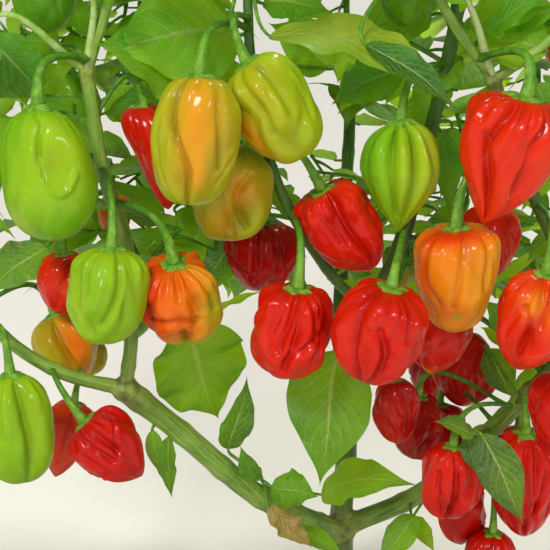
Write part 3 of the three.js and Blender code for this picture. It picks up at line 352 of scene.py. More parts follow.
SHOWN_LEAVES = (
    ShownLeaf("inner_right", (-5, -68, 184), (-18, -98, 120), 47, (-0.3, -0.9, 0.3), tone=0.36, wave=0.03),
    ShownLeaf("inner_left", (-90, -62, 196), (-70, -52, 136), 53, (0.2, -0.9, 0.2), tone=0.5, wave=0.08),
    ShownLeaf("inner_left", (-158, -66, 240), (-186, -86, 220), 25, (0.2, -0.7, 0.7), tone=0.3),
    ShownLeaf("inner_left", (-62, -36, 240), (-73, -46, 208), 16, (0.2, -0.9, 0.3), tone=0.5),
    ShownLeaf("low_left", (-14, -52, 92), (36, -77, 112), 28, (0.1, -0.6, 0.8), tone=0.5, arch=0.14),
    ShownLeaf("low_left", (-66, -56, 122), (-54, -66, 168), 19, (0.3, -0.9, 0.1), tone=0.12, fold=0.3),
    ShownLeaf("low_left", (-50, -58, 104), (-59, -66, 128), 12, (-0.2, -0.8, 0.5), tone=0.3),
    ShownLeaf("low_left", (-42, -58, 100), (-16, -66, 98), 22, (0.2, -0.8, 0.6), tone=0.3, wave=0.12),
    ShownLeaf("low_left", (-44, -58, 88), (-18, -66, 66), 15, (0.3, -0.8, 0.5), tone=0.6, wave=0.2, dry=1),
    ShownLeaf("low_right", (66, -92, 147), (86, -114, 106), 24, (-0.3, -0.9, 0.4), tone=0.1, fold=0.25),
    ShownLeaf("low_right", (62, -92, 147), (40, -104, 160), 13, (0, -0.6, 0.8), tone=0.2),
    ShownLeaf("low_right", (40, -42, 74), (18, -60, 52), 18, (-0.2, -0.7, 0.7), tone=0.3),
    ShownLeaf("left_side", (-176, -72, 346), (-148, -89, 314), 28, (-0.3, -0.8, 0.5), tone=0.3),
    ShownLeaf("left_side", (-190, -62, 282), (-163, -72, 310), 20, (0.2, -0.9, 0.3), tone=0.4),
    ShownLeaf("centre_crown", (-76, -74, 334), (-122, -100, 346), 50, (0.05, -0.8, 0.6), tone=0.5, wave=0.04,
              arch=0.02, fold=0.1),
    ShownLeaf("centre_crown", (-43, -84, 347), (45, -112, 317), 32, (0.35, -0.6, 0.7), tone=0.95, arch=0.14,
              curl=0.02, dry=0.25),
    ShownLeaf("mid_crown", (14, -38, 336), (-8, -44, 304), 20, (0, -0.9, 0.3), tone=0.8),
    ShownLeaf("right_crown", (92, -78, 360), (66, -70, 346), 16, (0.2, -0.7, 0.7), tone=0.5),
    ShownLeaf("low_left", (-25, -30, 58), (0, -52, 55), 12, (0.2, -0.8, 0.6), tone=0.4),
    ShownLeaf("low_left", (-105, -76, 142), (-100, -84, 118), 10, (0.2, -0.9, 0.2), tone=0.3),
    ShownLeaf("low_left", (-96, -72, 137), (-96, -80, 103), 13, (-0.4, -0.9, 0.1), tone=0.2, fold=0.4),
    ShownLeaf("low_right", (59, -88, 145), (64, -100, 127), 10, (-0.2, -0.9, 0.3), tone=0.1),
    ShownLeaf("low_right", (41, -26, 65), (53, -44, 51), 12, (0.2, -0.7, 0.7), tone=0.4),
    ShownLeaf("left_side", (-149, -50, 303), (-125, -58, 284), 16, (0.2, -0.8, 0.6), tone=0.5),
    ShownLeaf("left_crown", (-86, -60, 316), (-127, -70, 309), 24, (-0.1, -0.6, 0.8), tone=0.5),
    ShownLeaf("inner_right", (-4, -40, 342), (-8, -44, 320), 14, (0, -0.9, 0.3), tone=0.85),
    ShownLeaf("inner_right", (24, -40, 329), (17, -44, 309), 14, (0, -0.9, 0.3), tone=0.85),
    ShownLeaf("inner_right", (39, -44, 316), (24, -50, 287), 16, (-0.2, -0.9, 0.3), tone=0.8),
    ShownLeaf("inner_right", (45, -48, 297), (52, -54, 253), 16, (0.3, -0.9, 0.2), tone=0.5),
    ShownLeaf("right_crown", (60, -80, 348), (87, -92, 371), 14, (0.1, -0.7, 0.7), tone=0.5),
    ShownLeaf("right_crown", (71, -66, 329), (96, -70, 353), 15, (0.1, -0.7, 0.7), tone=0.4),
    ShownLeaf("right_crown", (53, -60, 334), (37, -66, 315), 13, (-0.1, -0.8, 0.6), tone=0.6),
    ShownLeaf("inner_right", (104, -60, 289), (84, -70, 259), 18, (-0.2, -0.8, 0.6), tone=0.4),
    ShownLeaf("inner_right", (105, -62, 246), (89, -68, 232), 11, (-0.2, -0.8, 0.6), tone=0.3),
    ShownLeaf("inner_left", (-93, -40, 252), (-72, -46, 240), 14, (0.2, -0.9, 0.3), tone=0.7),
    ShownLeaf("left_side", (-153, -46, 257), (-132, -52, 244), 14, (0.2, -0.9, 0.4), tone=0.5),
    ShownLeaf("centre_crown", (-59, -68, 346), (-119, -96, 344), 60, (0.05, -0.8, 0.6), tone=0.8, wave=0.03,
              fold=0.1),
    ShownLeaf("front_crown", (1, -106, 345), (44, -117, 317), 17, (0.2, -0.8, 0.6), tone=0.06, fold=0.3,
              wave=0.04, hold=(25, -94, 388)),
    ShownLeaf("left_crown", (-124, -96, 367), (-132, -120, 394), 44, (-0.3, -0.7, 0.6), tone=0.6,
              hold=(-129, -88, 331), thick=1.7),
    ShownLeaf("left_side", (-166, -112, 357), (-194, -114, 336), 46, (0.2, -0.7, 0.7), tone=0.2,
              hold=(-129, -88, 331), thick=1.6),
    ShownLeaf("front_crown", (46, -98, 366), (22, -120, 390), 44, (0.1, -0.7, 0.7), tone=0.6,
              hold=(64, -85, 326), thick=1.8),
    ShownLeaf("right_crown", (88, -88, 340), (55, -70, 344), 36, (-0.1, -0.7, 0.7), tone=0.75),
    ShownLeaf("right_crown", (54, -70, 351), (93, -80, 363), 36, (0.1, -0.6, 0.8), tone=0.7),
    ShownLeaf("mid_crown", (38, -50, 355), (-1, -48, 346), 34, (-0.1, -0.7, 0.7), tone=0.55),
    ShownLeaf("mid_crown", (25, -46, 329), (-12, -44, 310), 26, (0.1, -0.8, 0.5), tone=0.35),
    ShownLeaf("mid_crown", (45, -40, 331), (32, -44, 298), 22, (0.2, -0.9, 0.3), tone=0.6),
    ShownLeaf("centre_crown", (-12, -48, 330), (-43, -52, 352), 30, (-0.1, -0.8, 0.5), tone=0.7),
    ShownLeaf("centre_crown", (-46, -60, 361), (-13, -66, 359), 28, (0.1, -0.7, 0.7), tone=0.5),
    ShownLeaf("centre_crown", (-52, -60, 320), (-82, -58, 328), 24, (-0.1, -0.8, 0.5), tone=0.9),
    ShownLeaf("inner_left", (-103, -54, 325), (-84, -60, 308), 20, (0.1, -0.8, 0.5), tone=0.6),
    ShownLeaf("inner_left", (-126, -56, 307), (-103, -58, 318), 20, (-0.1, -0.8, 0.5), tone=0.7),
    ShownLeaf("inner_left", (-132, -52, 295), (-111, -58, 283), 13, (0.2, -0.8, 0.5), tone=0.25),
    ShownLeaf("left_side", (-156, -66, 319), (-143, -66, 333), 22, (0.1, -0.8, 0.5), tone=0.65),
    ShownLeaf("left_side", (-156, -70, 335), (-176, -76, 316), 30, (0, -0.8, 0.6), tone=0.2),
    ShownLeaf("left_side", (-146, -62, 341), (-164, -66, 344), 22, (0, -0.8, 0.6), tone=0.5),
    ShownLeaf("inner_left", (-86, -52, 258), (-71, -56, 235), 18, (0.2, -0.9, 0.3), tone=0.6),
    ShownLeaf("inner_right", (-61, -50, 244), (-77, -52, 214), 18, (-0.2, -0.9, 0.3), tone=0.2),
    ShownLeaf("inner_right", (52, -44, 298), (47, -48, 260), 18, (0.1, -0.9, 0.3), tone=0.35),
    ShownLeaf("inner_right", (46, -40, 253), (67, -46, 240), 16, (0.1, -0.8, 0.5), tone=0.3),
    ShownLeaf("right_crown", (86, -80, 325), (92, -90, 308), 18, (0.2, -0.8, 0.5), tone=0.3),
    ShownLeaf("low_right", (79, -28, 170), (95, -40, 144), 20, (0.1, -0.9, 0.3), tone=0.15),
    ShownLeaf("low_right", (112, -40, 163), (87, -52, 147), 15, (-0.1, -0.8, 0.5), tone=0.5),
    ShownLeaf("inner_right", (92, -30, 182), (75, -40, 203), 18, (-0.1, -0.9, 0.4), tone=0.2),
    ShownLeaf("inner_right", (109, -20, 203), (84, -30, 218), 22, (-0.1, -0.9, 0.4), tone=0.15),
    ShownLeaf("low_right", (76, -10, 113), (92, -20, 101), 20, (0.1, -0.9, 0.4), tone=0.2),
)


# Numbers and directions


class Stream:
    """Numbers from 0 to 1 by the part's own rule, so twigs and leaves come where its solids have them."""

    def __init__(self, seed):
        self.state = seed
        for _ in range(4):
            self.draw()

    def draw(self):
        self.state = self.state * STREAM_STEP % STREAM_SPAN
        return self.state / STREAM_SPAN

    def between(self, low, high):
        return low + (high - low) * self.draw()


def unit(vectors):
    """Vectors scaled to length one, along the last axis."""
    return vectors / np.maximum(np.linalg.norm(vectors, axis=-1, keepdims=True), 1e-12)


def hump(x, width):
    """A smooth bump of height one: e to the minus square of x over its width."""
    return np.exp(-((x / width) ** 2))


def wrapped(angle):
    """An angle brought to between minus and plus half a turn."""
    return (angle + np.pi) % (2 * np.pi) - np.pi


def route_line(route, shares):
    """Points and directions along the smooth line through a route's knots.

    Between two knots it is the cubic whose slope at each knot is half the step from the knot before to the
    one after.
    """
    knots = np.array(route, float)
    padded = np.vstack([2 * knots[0] - knots[1], knots, 2 * knots[-1] - knots[-2]])
    place = np.clip(shares, 0, 1) * (len(knots) - 1)
    cell = np.minimum(place.astype(int), len(knots) - 2)
    w = (place - cell)[:, None]
    before, start, end, after = (padded[cell + i] for i in range(4))
    leaving, arriving = 0.5 * (end - before), 0.5 * (after - start)
    square = 3 * (end - start) - 2 * leaving - arriving
    cube = 2 * (start - end) + leaving + arriving
    return start + w * (leaving + w * (square + w * cube)), unit(leaving + w * (2 * square + 3 * w * cube))


def bezier_line(controls, shares):
    """Points along the cubic Bezier curve of four controls."""
    a, b, c, d = (np.array(p, float) for p in controls)
    t = shares[:, None]
    return a * (1 - t) ** 3 + 3 * b * t * (1 - t) ** 2 + 3 * c * t**2 * (1 - t) + d * t**3


def carried_frame(path):
    """A path's directions and two across each; the first keeps to the way that the path leans to least."""
    ways = unit(np.gradient(path, axis=0))
    flat = np.linalg.svd(ways)[2][-1]
    flat = flat * np.sign(flat[np.argmax(np.abs(flat))])
    across = unit(flat - (ways @ flat)[:, None] * ways)
    return ways, across, np.cross(ways, across)


def ring_turns(count):
    """Even bearings once round a ring, in radians."""
    return 2 * np.pi * np.arange(count) / count


def nearest(points, place):
    """The index of the point that is nearest to a place."""
    return np.linalg.norm(points - place, axis=1).argmin()


def ripples(points, rng, count, pitch):
    """Soft lumps: the sum of cosine waves that run through space in random directions, about 1 high."""
    ways = unit(rng.normal(size=(count, 3))) * rng.uniform(0.6, 1.4, (count, 1)) * pitch
    phases = rng.uniform(0, 2 * np.pi, count)
    return np.cos(points @ ways.T + phases).sum(-1) / math.sqrt(count)


# Meshes


class Form:
    """Gathers grids of points, and a value or two at each point, into one mesh."""

    def __init__(self):
        self.points, self.faces, self.values, self.count = [], [], {}, 0

    def add(self, grid, ends=None, **values):
        """Adds a grid of points, rows by columns by xyz, or several of one size, with faces between them.

        With ends, which are two points, the columns of a grid meet and the points close its first and last
        row.
        """
        grid = grid.reshape((-1,) + grid.shape[-3:])
        index = self.count + np.arange(grid[..., 0].size).reshape(grid.shape[:3])
        right = np.roll(index, -1, axis=2)
        strips = np.stack([index[:, :-1], right[:, :-1], right[:, 1:], index[:, 1:]], axis=-1)
        self.faces.append((strips[:, :, :-1] if ends is None else strips).reshape(-1, 4))
        self.points.append(grid.reshape(-1, 3))
        self.count += index.size
        if ends is not None:
            first, last = (np.full_like(index[0, 0], self.count + pole) for pole in range(2))
            self.faces.append(np.stack([first, right[0, 0], index[0, 0]], axis=-1))
            self.faces.append(np.stack([index[0, -1], right[0, -1], last], axis=-1))
            self.points.append(np.array(ends))
            self.count += 2
        for name, value in values.items():
            value = np.broadcast_to(value, grid.shape[:3])
            rims = [] if ends is None else [value[:, 0].mean(-1), value[:, -1].mean(-1)]
            self.values.setdefault(name, []).append(np.concatenate([value.ravel(), *rims]))

    def add_tube(self, path, radius, sides, **values):
        """Adds a tube round a path. radius has one number for each ring, or one for each ring and side."""
        _, across, other = carried_frame(path)
        turn = ring_turns(sides)[:, None]
        ring = across[:, None] * np.cos(turn) + other[:, None] * np.sin(turn)
        self.add(path[:, None] + ring * radius.reshape(len(path), -1, 1), ends=(path[0], path[-1]), **values)

    def piece(self, name, material):
        """The mesh as a smooth object in metres, with its values as attributes and its own UV map."""
        mesh = bpy.data.meshes.new(name)
        corners = np.concatenate([f.ravel() for f in self.faces])
        sizes = np.concatenate([np.full(len(f), f.shape[1]) for f in self.faces])
        mesh.vertices.add(self.count)
        mesh.vertices.foreach_set("co", (np.concatenate(self.points) * MM).astype(np.float32).ravel())
        mesh.loops.add(len(corners))
        mesh.loops.foreach_set("vertex_index", corners.astype(np.int32))
        mesh.polygons.add(len(sizes))
        mesh.polygons.foreach_set("loop_start", (np.cumsum(sizes) - sizes).astype(np.int32))
        mesh.update(calc_edges=True)
        values = {key: np.concatenate(parts) for key, parts in self.values.items()}
        if "u" in values:
            layer = mesh.uv_layers.new(name="UVMap")
            pairs = np.stack([values.pop("u"), values.pop("v")], axis=-1)[corners]
            layer.data.foreach_set("uv", pairs.astype(np.float32).ravel())
        write_values(mesh, values)
        return finished(name, mesh, material)


def write_values(mesh, values):
    """Notes named numbers at the points of a mesh, for its material."""
    for key, value in values.items():
        mesh.attributes.new(key, "FLOAT", "POINT").data.foreach_set("value", value.astype(np.float32))


def vectors_of(items, key):
    """One vector of each of a mesh's items, as rows."""
    flat = np.empty(3 * len(items), np.float32)
    items.foreach_get(key, flat)
    return flat.reshape(-1, 3).astype(float)


def finished(name, mesh, material):
    """A mesh as a smooth object of the scene with one material."""
    mesh.validate()
    mesh.shade_smooth()
    mesh.materials.clear()
    mesh.materials.append(material)
    made = bpy.data.objects.new(name, mesh)
    bpy.context.scene.collection.objects.link(made)
    return made


def hand_over(piece, slot, *nodes):
    """Ties a piece to the plant and hides the solids that it stands for. The slot, which would name its
    finish, is not used.
    """
    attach(piece, "root")
    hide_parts(*nodes)


# Materials


def both_ways(operation):
    """The method for a sign, and its reflected form, that add the Math node for an operation."""
    def forward(self, other):
        return self.math(operation, self, other)

    def reflected(self, other):
        return self.math(operation, other, self)

    return forward, reflected


class Value:
    """A number that changes over a surface. The signs + - * / and abs add the Math node that does the sum."""

    def __init__(self, tree, socket):
        self.tree, self.socket = tree, socket

    def math(self, operation, *parts, clamp=False):
        node = self.tree.nodes.new("ShaderNodeMath")
        node.operation, node.use_clamp = operation, clamp
        for socket, part in zip(node.inputs, parts):
            if isinstance(part, Value):
                self.tree.links.new(part.socket, socket)
            else:
                socket.default_value = part
        return Value(self.tree, node.outputs[0])

    __add__, __radd__ = both_ways("ADD")
    __sub__, __rsub__ = both_ways("SUBTRACT")
    __mul__, __rmul__ = both_ways("MULTIPLY")
    __truediv__, __rtruediv__ = both_ways("DIVIDE")

    def __abs__(self):
        return self.math("ABSOLUTE", self)

    def held(self):
        """The value kept between 0 and 1."""
        return self.math("ADD", self, 0, clamp=True)

    def to_nearest(self):
        """How far the value is from the nearest whole number, from 0 to a half."""
        return self.math("PINGPONG", self, 0.5)

    def above(self, edge):
        """One where the value is over an edge, and otherwise nought."""
        return self.math("GREATER_THAN", self, edge)


class Finish:
    """A material, and the one way in which nodes are added to it."""

    def __init__(self, name):
        self.material = bpy.data.materials.new(name)
        self.material.use_nodes = True
        self.tree = self.material.node_tree
        self.tree.nodes.clear()

    def node(self, kind, settings=None, sockets=None, out=0):
        """Adds a node: its settings first, a ramp's stops too, then the values or links of its sockets."""
        node = self.tree.nodes.new("ShaderNode" + kind)
        for key, value in (settings or {}).items():
            if key == "stops":
                self._set_stops(node.color_ramp, value)
            else:
                setattr(node, key, value)
        for key, value in (sockets or {}).items():
            if isinstance(value, Value):
                self.tree.links.new(value.socket, node.inputs[key])
            else:
                node.inputs[key].default_value = value
        return Value(self.tree, node.outputs[out])

    @staticmethod
    def _set_stops(ramp, stops):
        while len(ramp.elements) < len(stops):
            ramp.elements.new(0.5)
        for element, (place, colour) in zip(ramp.elements, stops):
            element.position = place
            element.color = (*colour, 1)

    def attribute(self, name):
        return self.node("Attribute", {"attribute_name": name}, out="Fac")

    def place(self):
        """Object coordinates, in metres."""
        return self.node("TexCoord", out="Object")

    def noise(self, at, scale, detail=3.0, roughness=0.5):
        """A soft random pattern from 0 to 1."""
        sockets = {"Vector": at, "Scale": scale, "Detail": detail, "Roughness": roughness}
        return self.node("TexNoise", None, sockets)

    def vector(self, x, y, z):
        return self.node("CombineXYZ", None, {"X": x, "Y": y, "Z": z})

    def mix(self, share, first, second):
        """One colour turning into another."""
        first, second = (c if isinstance(c, Value) else (*c, 1) for c in (first, second))
        return self.node("Mix", {"data_type": "RGBA"}, {0: share, 6: first, 7: second}, out=2)

    def ramp(self, value, stops):
        return self.node("ValToRGB", {"stops": stops}, {"Fac": value})

    def bump(self, height, distance, strength=1.0):
        sockets = {"Height": height, "Distance": distance, "Strength": strength}
        return self.node("Bump", None, sockets, out="Normal")

    def principled(self, **sockets):
        """A Principled shader. Socket names are given with _ for a space."""
        named = {key.replace("_", " "): value for key, value in sockets.items()}
        return self.node("BsdfPrincipled", None, named)

    def done(self, shader):
        """The material, showing this shader."""
        output = self.tree.nodes.new("ShaderNodeOutputMaterial")
        self.tree.links.new(shader.socket, output.inputs["Surface"])
        return self.material


def paint(code):
    """A colour as shaders take it, from its six-figure screen code."""
    parts = [int(code[i:i + 2], 16) / 255 for i in (0, 2, 4)]
    return tuple(p / 12.92 if p <= 0.04045 else ((p + 0.055) / 1.055) ** 2.4 for p in parts)


def colour_setting(name, description, code):
    """A colour that a user may change."""
    return bpy.props.FloatVectorProperty(
        name=name, description=description, default=paint(code), size=3, subtype="COLOR")


def count_setting(name, description, default):
    """A number of faces that a user may change."""
    return bpy.props.IntProperty(name=name, description=description, default=default, min=3)


def share_setting(name, description, default):
    """A share that a user may change."""
    return bpy.props.FloatProperty(
        name=name, description=description, default=default, min=0, max=1, subtype="FACTOR")


def length_setting(name, description, default, least=0.0):
    """A length in metres that a user may change."""
    return bpy.props.FloatProperty(
        name=name, description=description, default=default, min=least, unit="LENGTH", precision=5)


# Stems

# Swellings where limbs meet: place and radius.
KNUCKLES = (
    ((0, -4, 45), 9.6), ((4, 8, 108), 7.2), ((-117, -85, 169), 7.4), ((-129, -88, 331), 4.3),
    ((13, -44, 198), 5.4), ((99, -56, 156), 6.2), ((64, -85, 326), 4.3), ((0, 34, 160), 6),
)
# Limbs whose skin is darker and duller than the rest.
OLIVE_LIMBS = ("main_stem", "leader", "centre_bough", "centre_branch", "back_bough", "right_upright")
# Rings along a limb and points round it. Ribs, the oval and the twist of both are soft waves of the radius.
RING_STEP, STEM_SIDES = 2.2, 28
RIBS, RIB_HEIGHT, OVAL_HEIGHT, TWIST, TWIST_OVER = 5, 0.045, 0.02, 0.8, 60
# Nodes swell a limb at even steps, which start further on from limb to limb.
NODE_STEP, NODE_HEIGHT, NODE_WIDTH, LIMB_SHIFT = 31, 0.1, 3.4, 7
KNUCKLE_ROWS, KNUCKLE_SIDES, KNUCKLE_LUMPS, KNUCKLE_REACH = 18, 24, 0.07, 1.5
FLARE_SHARE, END_SWELL, END_STEEP = 0.385, 0.16, 8
LIMB_POINTS, CHUNK = 48, 4000
# Fine ridges on the fused skin, and the smoothing that it gets before them.
RIDGES, RIDGE_TWIST, RIDGE_POWER, RIDGE_LEVEL = 9, 0.06, 0.7, 0.6
SOFTEN, SOFTEN_ROUNDS = 0.5, 6


def limb_radius(limb, share):
    """Even taper, plus a flare at the root, plus a swollen knuckle at the far end."""
    taper = limb.radii[0] + (limb.radii[1] - limb.radii[0]) * share
    flare = limb.flare * np.maximum(0, 1 - share / FLARE_SHARE) ** 2
    return taper + flare + END_SWELL * limb.radii[1] * np.maximum(0, share * END_STEEP - (END_STEEP - 1))


def stem_form():
    """Limbs as ribbed tubes and knuckles as lumps, one through another, before they are fused.

    A limb's radius is its taper times one plus five soft ribs that turn slowly, and swells at the nodes.
    """
    form = Form()
    turn = ring_turns(STEM_SIDES)
    for number, limb in enumerate(LIMBS.values()):
        length = np.linalg.norm(np.diff(np.array(limb.route, float), axis=0), axis=1).sum()
        shares = np.linspace(0, 1, int(length / RING_STEP))
        path, _ = route_line(limb.route, shares)
        path[:, 2] = np.maximum(path[:, 2], 0.5 * shares)
        twist = TWIST * shares[:, None] * length / TWIST_OVER + number
        ribs = 1 + RIB_HEIGHT * np.cos(RIBS * turn + RIBS * twist)
        ribs = ribs + OVAL_HEIGHT * np.cos(2 * turn - twist * 2)
        along = shares * length + LIMB_SHIFT * number
        nodes = 1 + NODE_HEIGHT * hump((along + NODE_STEP / 2) % NODE_STEP - NODE_STEP / 2, NODE_WIDTH)
        form.add_tube(path, limb_radius(limb, shares)[:, None] * ribs * nodes[:, None], STEM_SIDES)
    polar = np.linspace(0, np.pi, KNUCKLE_ROWS)[1:-1, None]
    turn = ring_turns(KNUCKLE_SIDES)
    level = np.sin(polar)
    ways = np.stack(np.broadcast_arrays(np.cos(turn) * level, np.sin(-turn) * level, np.cos(polar)), axis=-1)
    for number, (middle, radius) in enumerate(KNUCKLES):
        lumps = ripples(ways, np.random.default_rng(number), 8, 3)
        grid = middle + ways * (radius * (1 + KNUCKLE_LUMPS * lumps))[..., None]
        form.add(grid, ends=(np.add(middle, (0, 0, radius)), np.subtract(middle, (0, 0, radius))))
    return form


def limb_places(points):
    """For each point, the nearest limb line: how far along it, the bearing round it and which limb it is."""
    lines = []
    for number, limb in enumerate(LIMBS.values()):
        path, _ = route_line(limb.route, np.linspace(0, 1, LIMB_POINTS))
        _, across, other = carried_frame(path)
        marks = np.concatenate([[0], np.cumsum(np.linalg.norm(np.diff(path, axis=0), axis=1))])
        lines.append((path, across, other, marks + LIMB_SHIFT * number, np.full(len(path), number)))
    paths, across, other, marks, owners = (np.concatenate(parts) for parts in zip(*lines))
    chosen = np.concatenate([
        ((part**2).sum(1)[:, None] - 2 * part @ paths.T + (paths**2).sum(1)).argmin(1)
        for part in np.array_split(points, 1 + len(points) // CHUNK)
    ])
    out = points - paths[chosen]
    bearing = np.arctan2((out * other[chosen]).sum(1), (out * across[chosen]).sum(1))
    return marks[chosen], bearing, owners[chosen]


def carve_ridges(mesh, height):
    """Raises fine ridges along the fused limbs, which fade at the knuckles, and notes what their skin needs.

    A ridge rises with the size of the cosine of the bearing times nine halves, and turns slowly along the
    limb.
    """
    points = vectors_of(mesh.vertices, "co")
    along, bearing, owner = limb_places(points / MM)
    middles, radii = (np.array(part, float) for part in zip(*KNUCKLES))
    apart = np.linalg.norm(points[:, None] / MM - middles, axis=-1)
    knuckle = hump(apart, radii * KNUCKLE_REACH).max(1)
    waves = np.abs(np.cos(RIDGES / 2 * bearing + RIDGE_TWIST * along))
    ridges = (waves**RIDGE_POWER - RIDGE_LEVEL) * (1 - knuckle)
    moved = points + vectors_of(mesh.vertex_normals, "vector") * (height * ridges)[:, None]
    moved[:, 2] = np.maximum(moved[:, 2], 0)
    mesh.vertices.foreach_set("co", moved.astype(np.float32).ravel())
    olive = np.isin(owner, [list(LIMBS).index(name) for name in OLIVE_LIMBS])
    write_values(mesh, {"ring_x": np.cos(bearing), "ring_y": np.sin(bearing), "along": along,
                        "knuckle": knuckle, "olive": olive})


def stem_finish(look):
    """Green skin with fine lengthwise streaks, yellow at the knuckles, with purple-brown scars."""
    finish = Finish("stem_skin")
    x, y, along, knuckle, olive = map(finish.attribute, ("ring_x", "ring_y", "along", "knuckle", "olive"))
    streaks = finish.noise(finish.vector(x * 3.2, y * 3.2, along * 0.035), 1.6, 4, 0.6)
    fine = finish.noise(finish.vector(x * 9, y * 9, along * 0.1), 1.5, 3)
    blotches = finish.noise(finish.place(), 55, 3)
    tone = (streaks * 0.8 + blotches * 0.5 - 0.08 - olive * 0.3).held()
    stops = [(0.1, paint("3c5a14")), (0.38, look.dark), (0.62, look.green), (0.9, look.pale)]
    skin = finish.ramp(tone, stops)
    yellowed = finish.mix(knuckle * 0.55, skin, paint("a9ab55"))
    scar = ((finish.noise(finish.place(), 170, 2) * 3.8 - 1.55).held() * knuckle * 1.5).held()
    colour = finish.mix(scar * 0.75, yellowed, look.scar)
    normal = finish.bump(streaks * 0.5 + fine * 0.5, 0.0006, 0.4)
    return finish.done(finish.principled(
        Base_Color=colour, Roughness=0.36 + fine * 0.25, Normal=normal, Subsurface_Weight=0.06,
        Subsurface_Scale=0.003, Coat_Weight=0.12, Coat_Roughness=0.3))


class StemLook(bpy.types.PropertyGroup):
    """Sizes and colours of the stems."""
    voxel: length_setting("Fineness", "Edge of the cells that fuse the limbs", 0.00095, 0.0005)
    ridge: length_setting("Ridge height", "Height of the ridges along the stems", 0.00013)
    green: colour_setting("Green", "Main colour of the skin", "8cb040")
    dark: colour_setting("Dark streaks", "Colour of the dark streaks", "4e7c1c")
    pale: colour_setting("Pale streaks", "Colour of the pale streaks", "c0cc78")
    scar: colour_setting("Scars", "Colour of the scars at the knuckles", "54382c")


class CHILLI_OT_stems(bpy.types.Operator):
    """Fuse the limbs and their knuckles into one ridged skin"""
    bl_idname = "chilli.stems"
    bl_label = "Stems"

    def execute(self, context):
        look = context.scene.chilli_stems
        rough = stem_form().piece("rough_stems", None)
        fuse = rough.modifiers.new("fuse", "REMESH")
        fuse.mode, fuse.voxel_size = "VOXEL", look.voxel
        soften = rough.modifiers.new("soften", "SMOOTH")
        soften.factor, soften.iterations = SOFTEN, SOFTEN_ROUNDS
        context.view_layer.update()
        mesh = bpy.data.meshes.new_from_object(rough.evaluated_get(context.evaluated_depsgraph_get()))
        bpy.data.objects.remove(rough)
        mesh.name = "stems"
        carve_ridges(mesh, look.ridge)
        hand_over(finished("stems", mesh, stem_finish(look)), "stem", *LIMBS)
        return {"FINISHED"}


# Fruit

CREASES = 8
FOLD_STEPS = 4
# The two ends of a fruit's skin are looked up this share of its length away from its poles.
POLE = 1e-6
FRUIT_SLOTS = ("fruit_green", "fruit_olive", "fruit_orange", "fruit_red")
RIPENESS = (
    (0, "3f7d10"), (0.09, "72ab12"), (0.16, "93ba18"), (0.25, "a6ae18"), (0.34, "b09a16"), (0.44, "d99416"),
    (0.58, "e8780a"), (0.7, "e24805"), (0.8, "dc2603"), (0.88, "ce1403"), (0.95, "b20a05"), (1, "84050a"),
)


def fruit_frame(fruit):
    """The top of a fruit and its three directions: down its axis, to its right and out of its front."""
    lean, back = math.radians(fruit.lean), math.radians(fruit.back)
    axis = np.array([math.sin(lean), math.sin(back) * math.cos(lean), -math.cos(back) * math.cos(lean)])
    across = unit(np.array([1, 0, 0]) - axis[0] * axis)
    return np.array(fruit.at) - axis * fruit.size[0] / 2, axis, across, np.cross(axis, across)


def seed_of(fruit):
    return [ord(letter) for letter in fruit.name]


def spots(marks, share, turn):
    """The sum of soft spots, each with a bearing, a share of the length, a depth and its two half widths."""
    total = np.zeros(np.broadcast(share, turn).shape)
    for bearing, middle, depth, half_turn, half_share in marks:
        apart = wrapped(turn - math.radians(bearing)) / math.radians(half_turn)
        total = total + depth * np.exp(-(apart**2) - ((share - middle) / half_share) ** 2)
    return total


def fold_depth(fruit, share, turn):
    """The depth of the drawn folds: each falls off as a smooth bump with the distance from its curve.

    The curve is the route through the fold's knots, taken as a chain of short straight lines.
    """
    long, wide = fruit.size
    total = np.zeros(np.broadcast(share, turn).shape)
    for depth, width, *knots in fruit.folds:
        line, _ = route_line(knots, np.linspace(0, 1, FOLD_STEPS * (len(knots) - 1) + 1))
        apart = np.full(total.shape, np.inf)
        for start, end in zip(line[:-1], line[1:]):
            step = (end - start) * np.array([math.radians(wide / 2), long])
            x = wrapped(turn - math.radians(start[0])) * wide / 2
            y = (share - start[1]) * long
            along = np.clip((x * step[0] + y * step[1]) / (step @ step), 0, 1)
            apart = np.minimum(apart, np.hypot(x - along * step[0], y - along * step[1]))
        total = total + depth * hump(apart, width)
    return total


